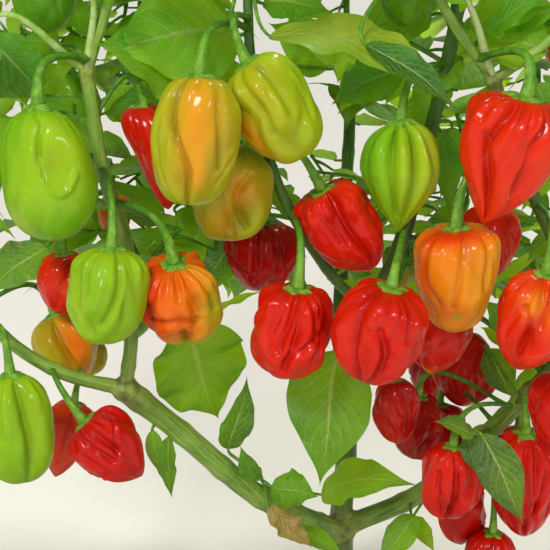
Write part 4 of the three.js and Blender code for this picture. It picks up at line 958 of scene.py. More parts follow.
def fruit_surface(fruit, share, turn):
    """Points on a fruit's skin, its ripeness and its hollows, at shares of its length and turns round it.

    Radius = half the width x profile x (1 + ribs + creases + pleats + lumps) - dents. The profile rises as a
    rounded shoulder to its widest and falls to the nose. A rib is the sine of half the bearing times the
    number of lobes, narrowed in its grooves, which sway down the fruit. A crease is a valley between two soft
    banks that wanders down the skin. The top sinks in round the stalk, and so does a blunt nose.
    """
    rng = np.random.default_rng(seed_of(fruit))
    long, wide = fruit.size
    share, turn = np.broadcast_arrays(share, turn)
    phase = rng.uniform(0, 2 * np.pi, 8)
    upper = np.sqrt(1 - np.clip(1 - share / fruit.widest, 0, 1) ** fruit.shoulder)
    lower = (1 - np.clip((share - fruit.widest) / (1 - fruit.widest), 0, 1) ** fruit.blunt) ** fruit.nose
    profile = np.where(share < fruit.widest, upper, lower)
    polar = np.arccos(1 - 2 * share)
    ways = np.stack([np.cos(turn) * np.sin(polar), np.sin(turn) * np.sin(polar), 2 * share - 1], axis=-1)

    bearing = turn - math.radians(fruit.turn) + fruit.sway * np.sin(6 * share + phase[0] + 0.7 * np.sin(turn))
    bearing = bearing + 0.24 * (np.sin(bearing + phase[1]) - math.sin(phase[1]))
    reach = 0.62 + 0.9 * hump(share, 0.3) + 0.6 * hump(1 - share, 0.3)
    reach = reach * (0.9 + 0.4 * np.sin(4 * share + 2 * turn + phase[2]))
    ribs = 1.8 * fruit.groove * reach * ((np.sin(fruit.lobes * bearing / 2) ** 2 + 0.012) ** 0.38 - 0.74)

    start = rng.uniform(0, 2 * np.pi, CREASES)
    slant = rng.normal(0, 0.9, CREASES)
    limits = ((0.2, 0.85), (0.14, 0.4), (0.08, 0.22), (0.35, 1))
    middle, half, width, depth = (rng.uniform(low, high, CREASES) for low, high in limits)
    s, a = share[..., None], turn[..., None]
    apart = wrapped(a - start - slant * (s - middle) - 0.22 * np.sin(7 * s + phase[3] + start))
    valley = hump(apart, width) - 0.5 * hump(apart, 2.4 * width)
    creases = -0.16 * fruit.wrinkle * (depth * valley * np.exp(-(((s - middle) / half) ** 4))).sum(-1)

    folds = np.cos(15 * turn + 1.5 * np.sin(2 * turn + phase[4]) + phase[5])
    folds = folds + 0.6 * np.cos(22 * turn + phase[6])
    pleats = 0.05 * fruit.pleat * hump(share - 0.06, 0.16) * folds
    drawn = ways * np.array([1, 1, 0.55])
    lumps = 0.055 * ripples(ways, rng, 14, 2.4) + 0.034 * (0.4 + fruit.wrinkle) * ripples(drawn, rng, 18, 7)
    lumps = lumps + 0.01 * (0.3 + fruit.wrinkle) * ripples(drawn, rng, 24, 17)
    relief = ribs + creases + pleats + lumps
    drawn_in = spots(fruit.dents, share, turn) + fold_depth(fruit, share, turn)
    radius = wide / 2 * profile * (0.97 + relief) - drawn_in * np.sqrt(profile)

    blunt_nose = max(0, fruit.blunt - 1.9) / 0.9
    nose_lift = 0.05 * blunt_nose * (share > fruit.widest)
    sink = (fruit.sink * (share < fruit.widest) - nose_lift) * hump(profile, 0.42)
    tilt = 0.035 * np.cos(turn - phase[7]) * profile * hump(share, 0.3)
    axial = long * (share + sink + tilt)
    top, axis, across, other = fruit_frame(fruit)
    bowed = fruit.bend * long * ((2 * share - 1) ** 2 - 0.4)
    points = (top + axial[..., None] * axis + (radius * np.cos(turn) + bowed)[..., None] * across
              + (radius * np.sin(turn))[..., None] * other)

    ripe = (fruit.ripe + ways @ np.array(fruit.blush) + spots(fruit.patches, share, turn) + 0.1 * ribs
            + 0.018 * ripples(ways, rng, 10, 3.5))
    # hollow is how far the skin sinks in, below nought on the crests; the skin's material paints shade in the
    # hollows and sheen on the crests from it.
    hollow = np.clip(-(ribs + creases) / 0.2 + drawn_in / 3.5 - 0.1, -1, 1)
    return points, np.clip(ripe, 0, 1), hollow


def add_fruit(form, fruit, rows, columns):
    """Adds a fruit's skin, with its rows set close at the two ends, where it turns fastest."""
    polar = np.pi * (np.arange(rows) + 0.6) / (rows + 0.2)
    share, turn = ((1 - np.cos(polar)) / 2)[:, None], ring_turns(columns)[None]
    points, ripe, hollow = fruit_surface(fruit, share, turn)
    ends = [fruit_surface(fruit, np.full((1, 1), share), np.zeros((1, 1)))[0].reshape(3)
            for share in (POLE, 1 - POLE)]
    form.add(points, ends, ripe=ripe, hollow=hollow, ring_x=np.cos(turn), ring_y=np.sin(turn),
             along=share * fruit.size[0])


@lru_cache(maxsize=None)
def skin_finish(slot):
    """Waxy skin, coloured by ripeness, with fine streaks down its length, painted shade in its hollows and
    painted sheen on its crests.
    """
    look = bpy.context.scene.chilli_fruit
    finish = Finish(slot + "_skin")
    x, y, along, ripe, hollow = map(finish.attribute, ("ring_x", "ring_y", "along", "ripe", "hollow"))
    streaks = finish.noise(finish.vector(x * 5, y * 5, along * 0.05), 1.8, 4, 0.6)
    clouds = finish.noise(finish.place(), 70, 3)
    dapples = finish.noise(finish.place(), 210, 3, 0.6)
    pores = finish.noise(finish.place(), 900, 2)
    # The hollow term deepens the colour a little in the hollows, as part of the painted shade there.
    stage = (ripe + (streaks - 0.5) * look.streaks + (clouds - 0.5) * look.clouds + hollow * 0.02).held()
    skin = finish.ramp(stage, [(place, paint(code)) for place, code in RIPENESS])
    # Painted sheen: paler on the crests, where hollow is below nought, and in soft dapples.
    painted_sheen = (hollow * -0.5 + (dapples - 0.62) * 0.9).held()
    # The pale mix is paler along fine streaks, plus the painted sheen, on fruit that is not fully ripe.
    pale = finish.mix((((streaks - 0.6) * 0.4).held() + painted_sheen * 0.5) * (1 - ripe).held(), skin,
                      finish.mix(0.5, skin, look.pale))
    # Painted shade: the skin is mixed towards a dark brown in the hollows, dents and folds.
    shaded = finish.mix(hollow.held() * 0.42, pale, finish.mix(0.55, skin, paint("1a0a02")))
    height = (streaks * 0.4 + clouds * 0.6 + dapples * 0.6) * (0.5 + ripe) + pores * 0.05
    return finish.done(finish.principled(
        Base_Color=shaded, Roughness=0.4 + streaks * 0.16, Normal=finish.bump(height, 0.0014, 0.45),
        Subsurface_Weight=0.03, Subsurface_Scale=0.003, Subsurface_Radius=(1, 0.35, 0.12),
        Coat_Weight=(ripe * 0.12 + look.coat).held(), Coat_Roughness=0.08, Specular_IOR_Level=0.08))


class FruitLook(bpy.types.PropertyGroup):
    """Sizes and colours of the fruit."""
    rows: count_setting("Rows", "Rows of faces down a fruit", 84)
    columns: count_setting("Columns", "Faces round a fruit", 108)
    streaks: share_setting("Streaks", "How far the ripeness varies in streaks", 0.03)
    clouds: share_setting("Clouds", "How far the ripeness varies in clouds", 0.07)
    coat: share_setting("Wax", "Weight of the waxy coat", 0.3)
    # The pale colour also paints the sheen on the fruit's crests and dapples.
    pale: colour_setting("Pale streaks", "Colour of the palest streaks", "f2c25a")


class CHILLI_OT_fruit(bpy.types.Operator):
    """Make the skins of the large fruit"""
    bl_idname = "chilli.fruit"
    bl_label = "Fruit"

    def execute(self, context):
        look = context.scene.chilli_fruit
        for fruit in FRUIT:
            form = Form()
            add_fruit(form, fruit, look.rows, look.columns)
            skin = form.piece("skin_" + fruit.name, skin_finish(fruit.slot))
            hand_over(skin, fruit.slot, "fruit_" + fruit.name)
        return {"FINISHED"}


# Caps and stalks

CAP_TEETH = 5
STALK_ROOT, STALK_SWELL = 1.5, 1.2
STALK_ROWS, STALK_SIDES = 36, 14
# A stalk bends over this far above the cap, in shares of its crook, and leaves its limb a little higher.
HOOK_OUT, HOOK_UP, ROOT_ABOVE = 0.75, 0.25, 4
CROOK_SHARE, CROOK_RISE, STALK_INTO = 0.3, 3, 0.05
# Swellings of a stalk at its root and its top: height and share of its length.
ROOT_SWELL, TOP_SWELL = (0.8, 0.06), (0.5, 0.08)
# Where along a limb's middle line a stalk or a mass may start.
LIMB_SHARES = np.arange(4, 72) / 80
# A cap runs out to its rim and turns back under it. Sizes are for a fruit of this width.
CAP_OUT = np.array([*np.linspace(0.12, 0.94, 12), 1, 0.97, *np.linspace(0.8, 0.2, 4)])[:, None]
CAP_UPPER_ROWS, CAP_SCALE = 13, 40


def nearest_on(limb, place):
    """The point of a limb's middle line, away from its ends, that is nearest to a place."""
    path, _ = route_line(limb.route, LIMB_SHARES)
    return path[nearest(path, place)]


def stalk_controls(fruit):
    """The four controls of a stalk's curve: out of its limb, over in a crook, and down into the cap."""
    cap, axis, _, _ = fruit_frame(fruit)
    hook = cap - HOOK_OUT * fruit.crook * axis + np.array([0, 0, HOOK_UP * fruit.crook])
    root = nearest_on(LIMBS[fruit.on], hook + np.array([0, 0, ROOT_ABOVE]))
    middle = hook + CROOK_SHARE * (root - hook) + np.array([0, 0, CROOK_RISE])
    return root, middle, hook, cap + STALK_INTO * fruit.size[0] * axis


def add_stalk(form, fruit, controls, rows, sides):
    """Adds a stalk: a tube along its curve, swollen at its root and thicker at the cap, with five ridges."""
    shares = np.linspace(0, 1, rows)
    body = (STALK_ROOT + STALK_SWELL * shares**3) * fruit.size[1] / CAP_SCALE
    body = body + ROOT_SWELL[0] * hump(shares, ROOT_SWELL[1]) + TOP_SWELL[0] * hump(1 - shares, TOP_SWELL[1])
    along = shares[:, None]
    ridges = 1 + 0.12 * np.cos(CAP_TEETH * ring_turns(sides) + 1.5 * along) * (0.4 + 0.6 * along)
    form.add_tube(bezier_line(controls, shares), body[:, None] * ridges, sides, tone=along)


def add_cap(form, fruit, columns):
    """Adds a cap: the fruit's skin near its stalk, lifted off, with a collar and five pointed teeth."""
    rng = np.random.default_rng(seed_of(fruit) + [1])
    turn = ring_turns(columns)[None]
    point = (0.5 + 0.5 * np.cos(CAP_TEETH * turn + rng.uniform(0, 6))) ** 1.6
    edge = fruit.cap * (0.78 + 0.3 * point + 0.06 * np.sin(2 * turn + rng.uniform(0, 6)))
    collar = 1.1 + 1.8 * hump(CAP_OUT, 0.45) + 0.7 * hump(CAP_OUT - 0.66, 0.12)
    veins = 0.25 * np.cos(2 * CAP_TEETH * turn) * CAP_OUT
    lift = (collar + veins) * fruit.size[1] / CAP_SCALE * (1 - 0.5 * CAP_OUT**6)
    lift[CAP_UPPER_ROWS:] = -0.5
    share = fruit.widest * (1 - (1 - (CAP_OUT * edge) ** 2) ** (1 / fruit.shoulder))
    points, _, _ = fruit_surface(fruit, share, turn)
    _, axis, _, _ = fruit_frame(fruit)
    points = points - axis * lift[..., None]
    form.add(points, ends=(points[0].mean(0), points[-1].mean(0)), tone=0.3 + 0.7 * CAP_OUT)


@lru_cache(maxsize=None)
def cap_finish():
    """Green skin that is mottled, a little ribbed and half matt."""
    look = bpy.context.scene.chilli_caps
    finish = Finish("cap_skin")
    mottle = finish.noise(finish.place(), 240, 4, 0.6)
    specks = finish.noise(finish.place(), 900, 2)
    tone = (mottle * 0.8 + finish.attribute("tone") * 0.3 - 0.1).held()
    stops = [(0.15, look.dark), (0.48, look.green), (0.75, look.pale), (1, paint("bccf8e"))]
    colour = finish.ramp(tone, stops)
    return finish.done(finish.principled(
        Base_Color=colour, Roughness=0.42 + specks * 0.2,
        Normal=finish.bump(mottle * 0.6 + specks * 0.4, 0.0005, 0.5),
        Specular_IOR_Level=0.25, Subsurface_Weight=0.08, Subsurface_Scale=0.002, Coat_Weight=0.1))


class CapLook(bpy.types.PropertyGroup):
    """Sizes and colours of the caps and stalks."""
    columns: count_setting("Columns", "Faces round a cap", 60)
    green: colour_setting("Green", "Main colour of caps and stalks", "5a9222")
    dark: colour_setting("Dark", "Colour of the dark mottling", "356414")
    pale: colour_setting("Pale", "Colour of the pale ribs", "92bc44")


class CHILLI_OT_caps(bpy.types.Operator):
    """Make the toothed caps and the stalks of the large fruit"""
    bl_idname = "chilli.caps"
    bl_label = "Caps and stalks"

    def execute(self, context):
        look = context.scene.chilli_caps
        caps, stalks = Form(), Form()
        for fruit in FRUIT:
            add_cap(caps, fruit, look.columns)
            add_stalk(stalks, fruit, stalk_controls(fruit), STALK_ROWS, STALK_SIDES)
        for name, form in (("caps", caps), ("stalks", stalks)):
            hand_over(form.piece(name, cap_finish()), "stem", *["fruit_" + fruit.name for fruit in FRUIT])
        return {"FINISHED"}


# Growth of the sprays, by the same rule as the part's source and then to finer twigs

TWIG_SHORTER, TWIG_THINNER, TWIG_THINNEST, TWIG_SIDE = 0.8, 0.8, 1.2, 0.75
TWIG_SPREAD, TWIG_RADIUS, TWIG_SUNK, TWIG_APART = (30, 46), 2.4, 4, 5
LEAF_PETIOLE, LEAF_BLADE, LEAF_WIDTH, LEAF_DROOP = (16, 30), (58, 88), 0.5, (0.15, 0.95)
SEEDED_LONG, SEEDED_WIDE, SEEDED_STALK, SEEDED_SWING = (42, 58), (32, 41), 24, 10
WAYS_ROUND = (0, 1, 4, 2, 3)
SIZES = (1, 0.8, 0.6)
CAD_SHOWN = 18
STEM_RADII, TWIG_VARIES, TWIG_RISE = (1.5, 1.3), (0.85, 1.15), 0.12
GROWN_WAIST, SHOWN_WAIST = 0.52, 0.42
# Seeded fruit nearer the viewer than this is still green.
FRONT_FRUIT = 85
FINER_ORDERS = 2
LEAFY_LIMBS = ("back_bough", "back_left", "back_right", "centre_bough", "centre_branch", "right_reach",
               "left_reach", "left_top", "front_top", "right_top")
LIMB_NODES, LIMB_NODE_TURN = 8, 2.4
# Room that leaves and fruit keep from what has grown before them. Finer leaves may come closer.
LEAF_ROOM, FINE_ROOM, FRUIT_ROOM, TWIG_ROOM = 2.5, 1.2, 1.5, 0.8
LEAF_ROD, PETIOLE_ROD, STALK_ROD = 0.8, 1.2, 2.6
LIMB_LEAF, FINEST_LEAF = 0.9, 0.75
# Where along a coarse twig a leaf that shows may be held.
TWIG_HOLDS = (0.3, 0.6, 0.9)


@dataclass(eq=False)
class Twig:
    """A straight twig: its ends, its direction, its fork's turn, its order and place, and its stream."""
    start: np.ndarray
    end: np.ndarray
    aim: np.ndarray
    turn: float
    order: int
    place: int
    stream: Stream
    radii: tuple


@dataclass(eq=False)
class Leaf:
    """A blade: its two ends, the way that it faces, its width and where along it is widest.

    place is the place of its twig, and hold is where its petiole starts, if the leaf was listed.
    """
    foot: np.ndarray
    tip: np.ndarray
    faces: np.ndarray
    wide: float
    waist: float
    place: int = 0
    hold: np.ndarray = None


@dataclass(eq=False)
class Spray:
    """What has grown in a mass so far: twigs, leaves, and fruit with their twigs."""
    mass: Mass
    twigs: list
    leaves: list = field(default_factory=list)
    fruit: list = field(default_factory=list)

    def coarse(self):
        """The twigs that the part's solids have too."""
        return [twig for twig in self.twigs if twig.order <= self.mass.forks or self.mass.stem]

    def rods(self):
        """The fruit and the leaves so far as rods."""
        return [*[fruit_rod(fruit) for fruit, _ in self.fruit], *[leaf_rods(leaf) for leaf in self.leaves]]


def between(limits, share):
    return limits[0] + (limits[1] - limits[0]) * share


def rods_of(starts, ends, radius):
    """Straight rods as rows of start, end and radius."""
    starts, ends = np.reshape(starts, (-1, 3)), np.reshape(ends, (-1, 3))
    return np.hstack([starts, ends, np.broadcast_to(np.reshape(radius, (-1, 1)), (len(starts), 1))])


def touches(lines, rods, gap):
    """Whether any straight line (start, end) comes nearer to any rod than the rod's radius and a gap."""
    a, c = lines[:, None, 0], rods[None, :, 0:3]
    u, w = lines[:, None, 1] - a, rods[None, :, 3:6] - c
    r = a - c
    uu, ww, uw = (u * u).sum(-1), (w * w).sum(-1), (u * w).sum(-1)
    ur, wr = (u * r).sum(-1), (w * r).sum(-1)
    slant = uu * ww - uw * uw
    s = np.where(slant > 1e-9, np.clip((uw * wr - ww * ur) / np.maximum(slant, 1e-9), 0, 1), 0)
    t = np.clip((uw * s + wr) / ww, 0, 1)
    s = np.clip((uw * t - ur) / uu, 0, 1)
    apart = np.linalg.norm(r + u * s[..., None] - w * t[..., None], axis=-1)
    return bool((apart < rods[:, 6] + gap).any())


def fruit_rod(fruit):
    """A fruit as a rod with round ends."""
    _, axis, _, _ = fruit_frame(fruit)
    reach = max(1, (fruit.size[0] - fruit.size[1]) / 2) * axis
    return rods_of(np.array(fruit.at) - reach, np.array(fruit.at) + reach, fruit.size[1] / 2)


@lru_cache(maxsize=None)
def fixed_rods():
    """The limbs, the large fruit, their stalks and the light gaps as rods."""
    rods = []
    for limb in LIMBS.values():
        count = 4 * (len(limb.route) - 1)
        path, _ = route_line(limb.route, np.arange(count + 1) / count)
        rods.append(rods_of(path[:-1], path[1:], limb_radius(limb, (np.arange(count) + 0.5) / count)))
    rods += [fruit_rod(fruit) for fruit in FRUIT]
    for fruit in FRUIT:
        path = bezier_line(stalk_controls(fruit), np.linspace(0, 1, 4))
        rods.append(rods_of(path[:-1], path[1:], STALK_ROD))
    return np.vstack([*rods, LIGHT_GAPS])


def in_space(points, mass):
    """Which points lie in the crown, in the mass's own share of it, and out of the open front."""
    points = np.reshape(points, (-1, 3))
    inside = (((points - CROWN_MIDDLE) / CROWN_REACH) ** 2).sum(-1) <= 1
    inside &= points[:, 2] >= UNDERSIDE
    own = np.array(mass.heart, float)
    hearts = np.array([other.heart for other in MASSES if other is not mass], float)
    lead = ((points[:, None] - hearts) ** 2).sum(-1) - ((points - own) ** 2).sum(-1)[:, None]
    inside &= (lead >= 2 * SPACE_GAP * np.linalg.norm(hearts - own, axis=-1)).all(-1)
    return inside & ~((points > OPEN_FRONT[0]) & (points < OPEN_FRONT[1])).all(-1)


def sideways(aim, turn):
    """The direction at a right angle to another, turned round it by an angle."""
    flat = np.array([1.0, 0, 0]) if abs(aim[2]) > 0.95 else np.array([0, 0, 1.0])
    across = unit(np.cross(aim, flat))
    return across * math.cos(turn) + np.cross(aim, across) * math.sin(turn)


def grow_twigs(mass):
    """Grows the twigs of a mass. Each forks in two, and the forks turn from order to order.

    A twig that would leave the mass's space or touch a limb or a large fruit is skipped with all that it
    would bear.
    """
    if mass.stem:
        points = np.array(mass.stem, float)
        pairs = enumerate(zip(points[:-1], points[1:]))
        return [Twig(start, end, unit(end - start), 0, order, 2 ** (order + 1) - 1, Stream(order + 1),
                     STEM_RADII) for order, (start, end) in pairs]
    limb = LIMBS[mass.on]
    root = nearest_on(limb, np.array(mass.near)) if mass.near else np.array(limb.route[-1], float)
    towards = unit(np.array(mass.heart) - root)
    _, leaving = route_line(limb.route, np.array([1.0]))
    aim = towards if mass.near else unit(towards + leaving[0])
    twigs = []

    def grow(start, aim, long, radius, order, place, clear_from):
        stream = Stream(mass.seed * SEED_STEP + place * PLACE_STEP)
        end = start + aim * long * stream.between(*TWIG_VARIES)
        turn = 2 * math.pi * stream.draw()
        spread = math.radians(stream.between(*TWIG_SPREAD))
        if order > 0 and not in_space(end, mass)[0]:
            return
        if touches(np.array([[start + aim * clear_from, end]]), fixed_rods(), radius + TWIG_ROOM):
            return
        tip_radius = max(TWIG_THINNEST, radius * TWIG_THINNER)
        twigs.append(Twig(start, end, aim, turn, order, place, stream, (radius, tip_radius)))
        if order == mass.forks + FINER_ORDERS:
            return
        plane = sideways(aim, turn)
        for side in (-1, 1):
            child = aim * math.cos(spread) + plane * side * math.sin(spread) + np.array([0, 0, TWIG_RISE])
            foot = end - aim * (0 if side > 0 else TWIG_SUNK)
            width = tip_radius if side > 0 else TWIG_SIDE * tip_radius
            branch = 2 * place + (side > 0)
            grow(foot, unit(child), long * TWIG_SHORTER, width, order + 1, branch, 0.25 * long)

    first_clear = 2.2 * (limb.radii[0] if mass.near else limb.radii[1]) + 4
    grow(root, aim, mass.first, TWIG_RADIUS, 0, 1, first_clear)
    return twigs


def grow_fruit(mass, twig, rods):
    """A fruit that may hang from the end of a twig."""
    long, wide, turn, chance = (twig.stream.draw() for _ in range(4))
    if chance > mass.fruit:
        return None
    size = (between(SEEDED_LONG, long), between(SEEDED_WIDE, wide))
    way = 2 * math.pi * turn
    swing = (SEEDED_SWING * math.cos(way), SEEDED_SWING * math.sin(way), -SEEDED_STALK - size[0] / 2)
    at = twig.end + np.array(swing)
    name = f"{MASS_NODE}{mass.name}_{twig.place}"
    fruit = Fruit(name, tuple(at), size, blunt=2.1, lobes=3 + twig.place % 2, turn=360 * wide)
    rod = fruit_rod(fruit)
    radius = rod[0, 6]
    rim = np.array([[1, 0, 0], [-1, 0, 0], [0, 1, 0], [0, -1, 0], [0, 0, 1.5], [0, 0, -1.5]])
    if not in_space(at + rim * radius, mass).all():
        return None
    return None if touches(rod[:, :6].reshape(1, 2, 3), rods, radius + FRUIT_ROOM) else (fruit, twig)


def leaf_lines(leaf):
    """The lines between a leaf's corners, which the rules on space and touching look at."""
    side = unit(np.cross(leaf.faces, leaf.tip - leaf.foot))
    waist = leaf.foot + (leaf.tip - leaf.foot) * leaf.waist
    left, right = waist + side * leaf.wide / 2, waist - side * leaf.wide / 2
    start = leaf.foot + 0.12 * (leaf.tip - leaf.foot)
    corners = np.array([left, leaf.tip, right])
    pairs = [(start, leaf.tip), (left, right), (left, leaf.tip), (right, leaf.tip), (start, left),
             (start, right)]
    return corners, np.array(pairs)


def grow_leaf(mass, twig, end, number, count, rods, scale, gap):
    """A leaf at the end of a twig: the first of five ways round, then of smaller blades, that has room."""
    petiole, blade, droop, tilt, roll = (twig.stream.draw() for _ in range(5))
    faces = np.array([0.5 * (roll - 0.5), 0.5 * (tilt - 0.5), 1])
    for size in SIZES:
        for way in WAYS_ROUND:
            turn = twig.turn + 2 * math.pi * number / count + 2 * math.pi * way / len(WAYS_ROUND)
            out = sideways(twig.aim, turn) + twig.aim * (0.2 + 0.4 * tilt)
            out[2] = out[2] * 0.5 - between(LEAF_DROOP, droop)
            blade_long = scale * size * between(LEAF_BLADE, blade)
            foot = end - twig.aim * TWIG_APART * (number + 1)
            tip = foot + unit(out) * (scale * size * between(LEAF_PETIOLE, petiole) + blade_long)
            leaf = Leaf(foot, tip, faces, LEAF_WIDTH * blade_long, GROWN_WAIST, twig.place)
            corners, lines = leaf_lines(leaf)
            if in_space(corners, mass).all() and not touches(lines, rods, gap):
                return leaf
    return None


def bear_leaves(spray, twig, end, count, rods, scale=1.0, gap=LEAF_ROOM):
    """Grows leaves at a place of a twig, adds those with room to the spray and gives the rods with them."""
    for number in range(count):
        leaf = grow_leaf(spray.mass, twig, end, number, count, rods, scale, gap)
        if leaf:
            spray.leaves.append(leaf)
            rods = np.vstack([rods, leaf_rods(leaf)])
    return rods


def leaf_rods(leaf):
    _, lines = leaf_lines(leaf)
    return rods_of(lines[:, 0], lines[:, 1], LEAF_ROD)


def shown_leaf(entry, holds):
    """A leaf that shows, held where listed or at the nearest of some points."""
    hold = entry.hold or holds[nearest(holds, entry.foot)]
    foot, tip, faces, hold = (np.array(place, float) for place in (entry.foot, entry.tip, entry.faces, hold))
    return Leaf(foot, tip, faces, entry.wide, SHOWN_WAIST, hold=hold)


@lru_cache(maxsize=None)
def grown():
    """Every spray, and the leaves that show with their rows of the table."""
    sprays = {mass.name: Spray(mass, grow_twigs(mass)) for mass in MASSES}
    shown = []
    for entry in SHOWN_LEAVES[:CAD_SHOWN]:
        coarse = sprays[entry.spray].coarse()
        holds = np.array([t.start + (t.end - t.start) * share for t in coarse for share in TWIG_HOLDS])
        shown.append((entry, shown_leaf(entry, holds)))
    shown_rods = [np.vstack([leaf_rods(leaf), rods_of(leaf.hold, leaf.foot, PETIOLE_ROD)])
                  for _, leaf in shown]
    base = np.vstack([fixed_rods(), *shown_rods])
    growing = [spray for spray in sprays.values() if not spray.mass.stem]
    for spray in growing:
        dress(spray, base)
    limbs = np.concatenate([route_line(limb.route, np.linspace(0.05, 0.95, 60))[0]
                            for limb in LIMBS.values()])
    for entry in SHOWN_LEAVES[CAD_SHOWN:]:
        holds = np.vstack([limbs, *[[t.start, (t.start + t.end) / 2] for t in sprays[entry.spray].twigs]])
        shown.append((entry, shown_leaf(entry, holds)))
    base = np.vstack([base, *[leaf_rods(leaf) for _, leaf in shown[CAD_SHOWN:]],
                      *[fruit_rod(fruit) for _, fruit in INNER_FRUIT]])
    for spray in growing:
        refine(spray, base)
    leaf_limbs(sprays, base)
    return sprays, shown


def leaf_limbs(sprays, base):
    """Leaves at the nodes of the upper limbs themselves, each dealt to the mass whose middle is nearest."""
    hearts = np.array([mass.heart for mass in MASSES], float)
    rods = np.vstack([base, *[leaf_rods(leaf) for spray in sprays.values() for leaf in spray.leaves]])
    for number, name in enumerate(LEAFY_LIMBS):
        limb = LIMBS[name]
        path, ways = route_line(limb.route, np.linspace(0.25, 0.97, LIMB_NODES))
        for node, (point, aim) in enumerate(zip(path, ways)):
            stream = Stream(SEED_STEP * (number + 1) + PLACE_STEP * (node + 1))
            twig = Twig(point, point, aim, LIMB_NODE_TURN * node, 0, 0, stream, (limb.radii[1],) * 2)
            mass = MASSES[nearest(hearts, point + 20 * aim)]
            rods = bear_leaves(sprays[mass.name], twig, point, 2, rods, LIMB_LEAF, FINE_ROOM)


def clear_twigs(twigs, twig):
    """The rods of the twigs that are not this one and do not set out near its end."""
    clear = [t for t in twigs if t is not twig and np.linalg.norm(t.start - twig.end) > 2 * TWIG_SUNK]
    return [rods_of(t.start, t.end, t.radii[0]) for t in clear]


def dress(spray, base):
    """Dresses the coarse twigs of a spray with fruit, then with leaves, where there is room."""
    twigs = spray.coarse()
    for twig in twigs:
        found = grow_fruit(spray.mass, twig, np.vstack([base, *clear_twigs(twigs, twig), *spray.rods()]))
        if found:
            spray.fruit.append(found)
    for twig in twigs:
        rods = np.vstack([base, *clear_twigs(twigs, twig), *spray.rods()])
        bear_leaves(spray, twig, twig.end, 1 if twig.order == 0 else 2, rods)


def refine(spray, base):
    """Carries a spray on to finer twigs, with smaller leaves on them and half way along the coarse ones.

    A fine twig that would bear no leaf, and carry none that does, is left out.
    """
    forks, scale = spray.mass.forks, bpy.context.scene.chilli_sprays.fine_leaf
    rods = np.vstack([base, *spray.rods()])
    kept, skipped = [], set()
    for twig in spray.twigs:
        lines = np.array([[twig.start + 0.3 * (twig.end - twig.start), twig.end]])
        blocked = twig.order > forks and touches(lines, rods, twig.radii[1])
        if twig.place // 2 in skipped or blocked:
            skipped.add(twig.place)
        else:
            kept.append(twig)
    for twig in kept:
        if twig.order > forks:
            finest = FINEST_LEAF if twig.order > forks + 1 else 1
            rods = bear_leaves(spray, twig, twig.end, 2, rods, scale * finest, FINE_ROOM)
    for twig in kept:
        if twig.order <= forks:
            rods = bear_leaves(spray, twig, (twig.start + twig.end) / 2, 2, rods, scale, FINE_ROOM)
    leafy = {leaf.place >> steps for leaf in spray.leaves for steps in range(leaf.place.bit_length())}
    spray.twigs = [t for t in kept if t.order <= forks or t.place in leafy]


# Leaves and twigs

VEIN_PAIRS, VEIN_RELIEF, SHOWN_TWIST = 8, 0.012, (-0.3, 0.3)
TWIG_SIDES, TWIG_SLIMMER = 8, 0.85
SHOWN_SEED, SPRAY_SEED = 5, 100
# Petioles: rings, sides, radius at the two ends, and how far they rise as a share of their length.
SHOWN_STALK_ROWS, SHOWN_STALK_SIDES, SHOWN_STALK_RADII = 14, 8, (1.3, 0.75)
SPRAY_STALK_ROWS, SPRAY_STALK_SIDES, SPRAY_STALK_RADII = 5, 5, (1.15, 0.7)
RISE, LOW_RISE = 0.12, 0.02
# Arch, fold, curl, wave, twist and the wave's phase of the leaves in sprays lie between these.
BEND_LOW = np.array([0.02, -0.15, 0.0, 0.01, -0.4, 0])
BEND_HIGH = np.array([0.12, 0.3, 0.14, 0.055, 0.4, 1])
# Leaves narrower than this are young, and so paler.
YOUNG_WIDTH = 24


def half_width(t):
    """A leaf's half width along its blade: a sine drawn towards the foot, with a drawn-out tip."""
    return np.sin(np.pi * t**0.72) ** (0.85 + 0.7 * t**3) * (1 - 0.45 * t**5)


def vein_lines(t, v):
    """How far a point is from its nearest side vein, in steps between veins. Veins rise to the margin."""
    climb = VEIN_PAIRS * (t - 0.3 * np.abs(v) - 0.08 * v**2) + 0.3 * (v > 0)
    return np.abs(climb - np.round(climb))


def add_blades(form, foot, tip, faces, wide, bend, tone, dry, rows, columns, relief=0.0):
    """Adds leaf blades, all at once. bend holds arch, fold, curl, wave, twist and the wave's phase of each.

    A point is the foot plus its share of the way to the tip, plus the half width times its place across, plus
    a lift: an arch along the rib, minus a curl at the tip, plus a fold that raises both margins, plus waves
    that grow towards the margin. Relief sinks the veins and swells the skin between them.
    """
    along = tip - foot
    long = np.linalg.norm(along, axis=-1)[:, None, None]
    side = unit(np.cross(faces, along))
    up = unit(np.cross(along, side))
    t = (0.008 + 0.984 * np.linspace(0, 1, rows))[None, :, None]
    v = np.linspace(1, -1, columns)[None, None]
    arch, fold, curl, wave, twist, phase = (bend[:, i, None, None] for i in range(6))
    half = wide[:, None, None] / 2 * half_width(t)
    ruffle = np.sin(2 * np.pi * (3.2 * t + phase) + 1.3 * np.sign(v))
    ruffle = ruffle + 0.5 * np.sin(2 * np.pi * (5.3 * t - phase))
    lift = long * (arch * 4 * t * (1 - t) - curl * t**3)
    lift = lift + half * (fold * np.abs(v) + twist * v * (t - 0.3)) + half * wave * 2.2 * ruffle * v**2
    vein = np.exp(-((vein_lines(t, v) / 0.14) ** 2)) * (1 - 0.75 * np.abs(v))
    rib = np.exp(-((v / 0.07) ** 2))
    lift = lift + relief * wide[:, None, None] * (0.5 * (1 - vein) * (1 - np.abs(v)) - rib)
    drift = half * 0.12 * np.sin(np.pi * t + 6 * phase)
    grid = (foot[:, None, None] + along[:, None, None] * t[..., None]
            + side[:, None, None] * ((half * v * np.cos(fold) + drift)[..., None])
            + up[:, None, None] * lift[..., None])
    form.add(grid, u=0.5 + 0.5 * v, v=t, tone=tone[:, None, None], dry=dry[:, None, None])


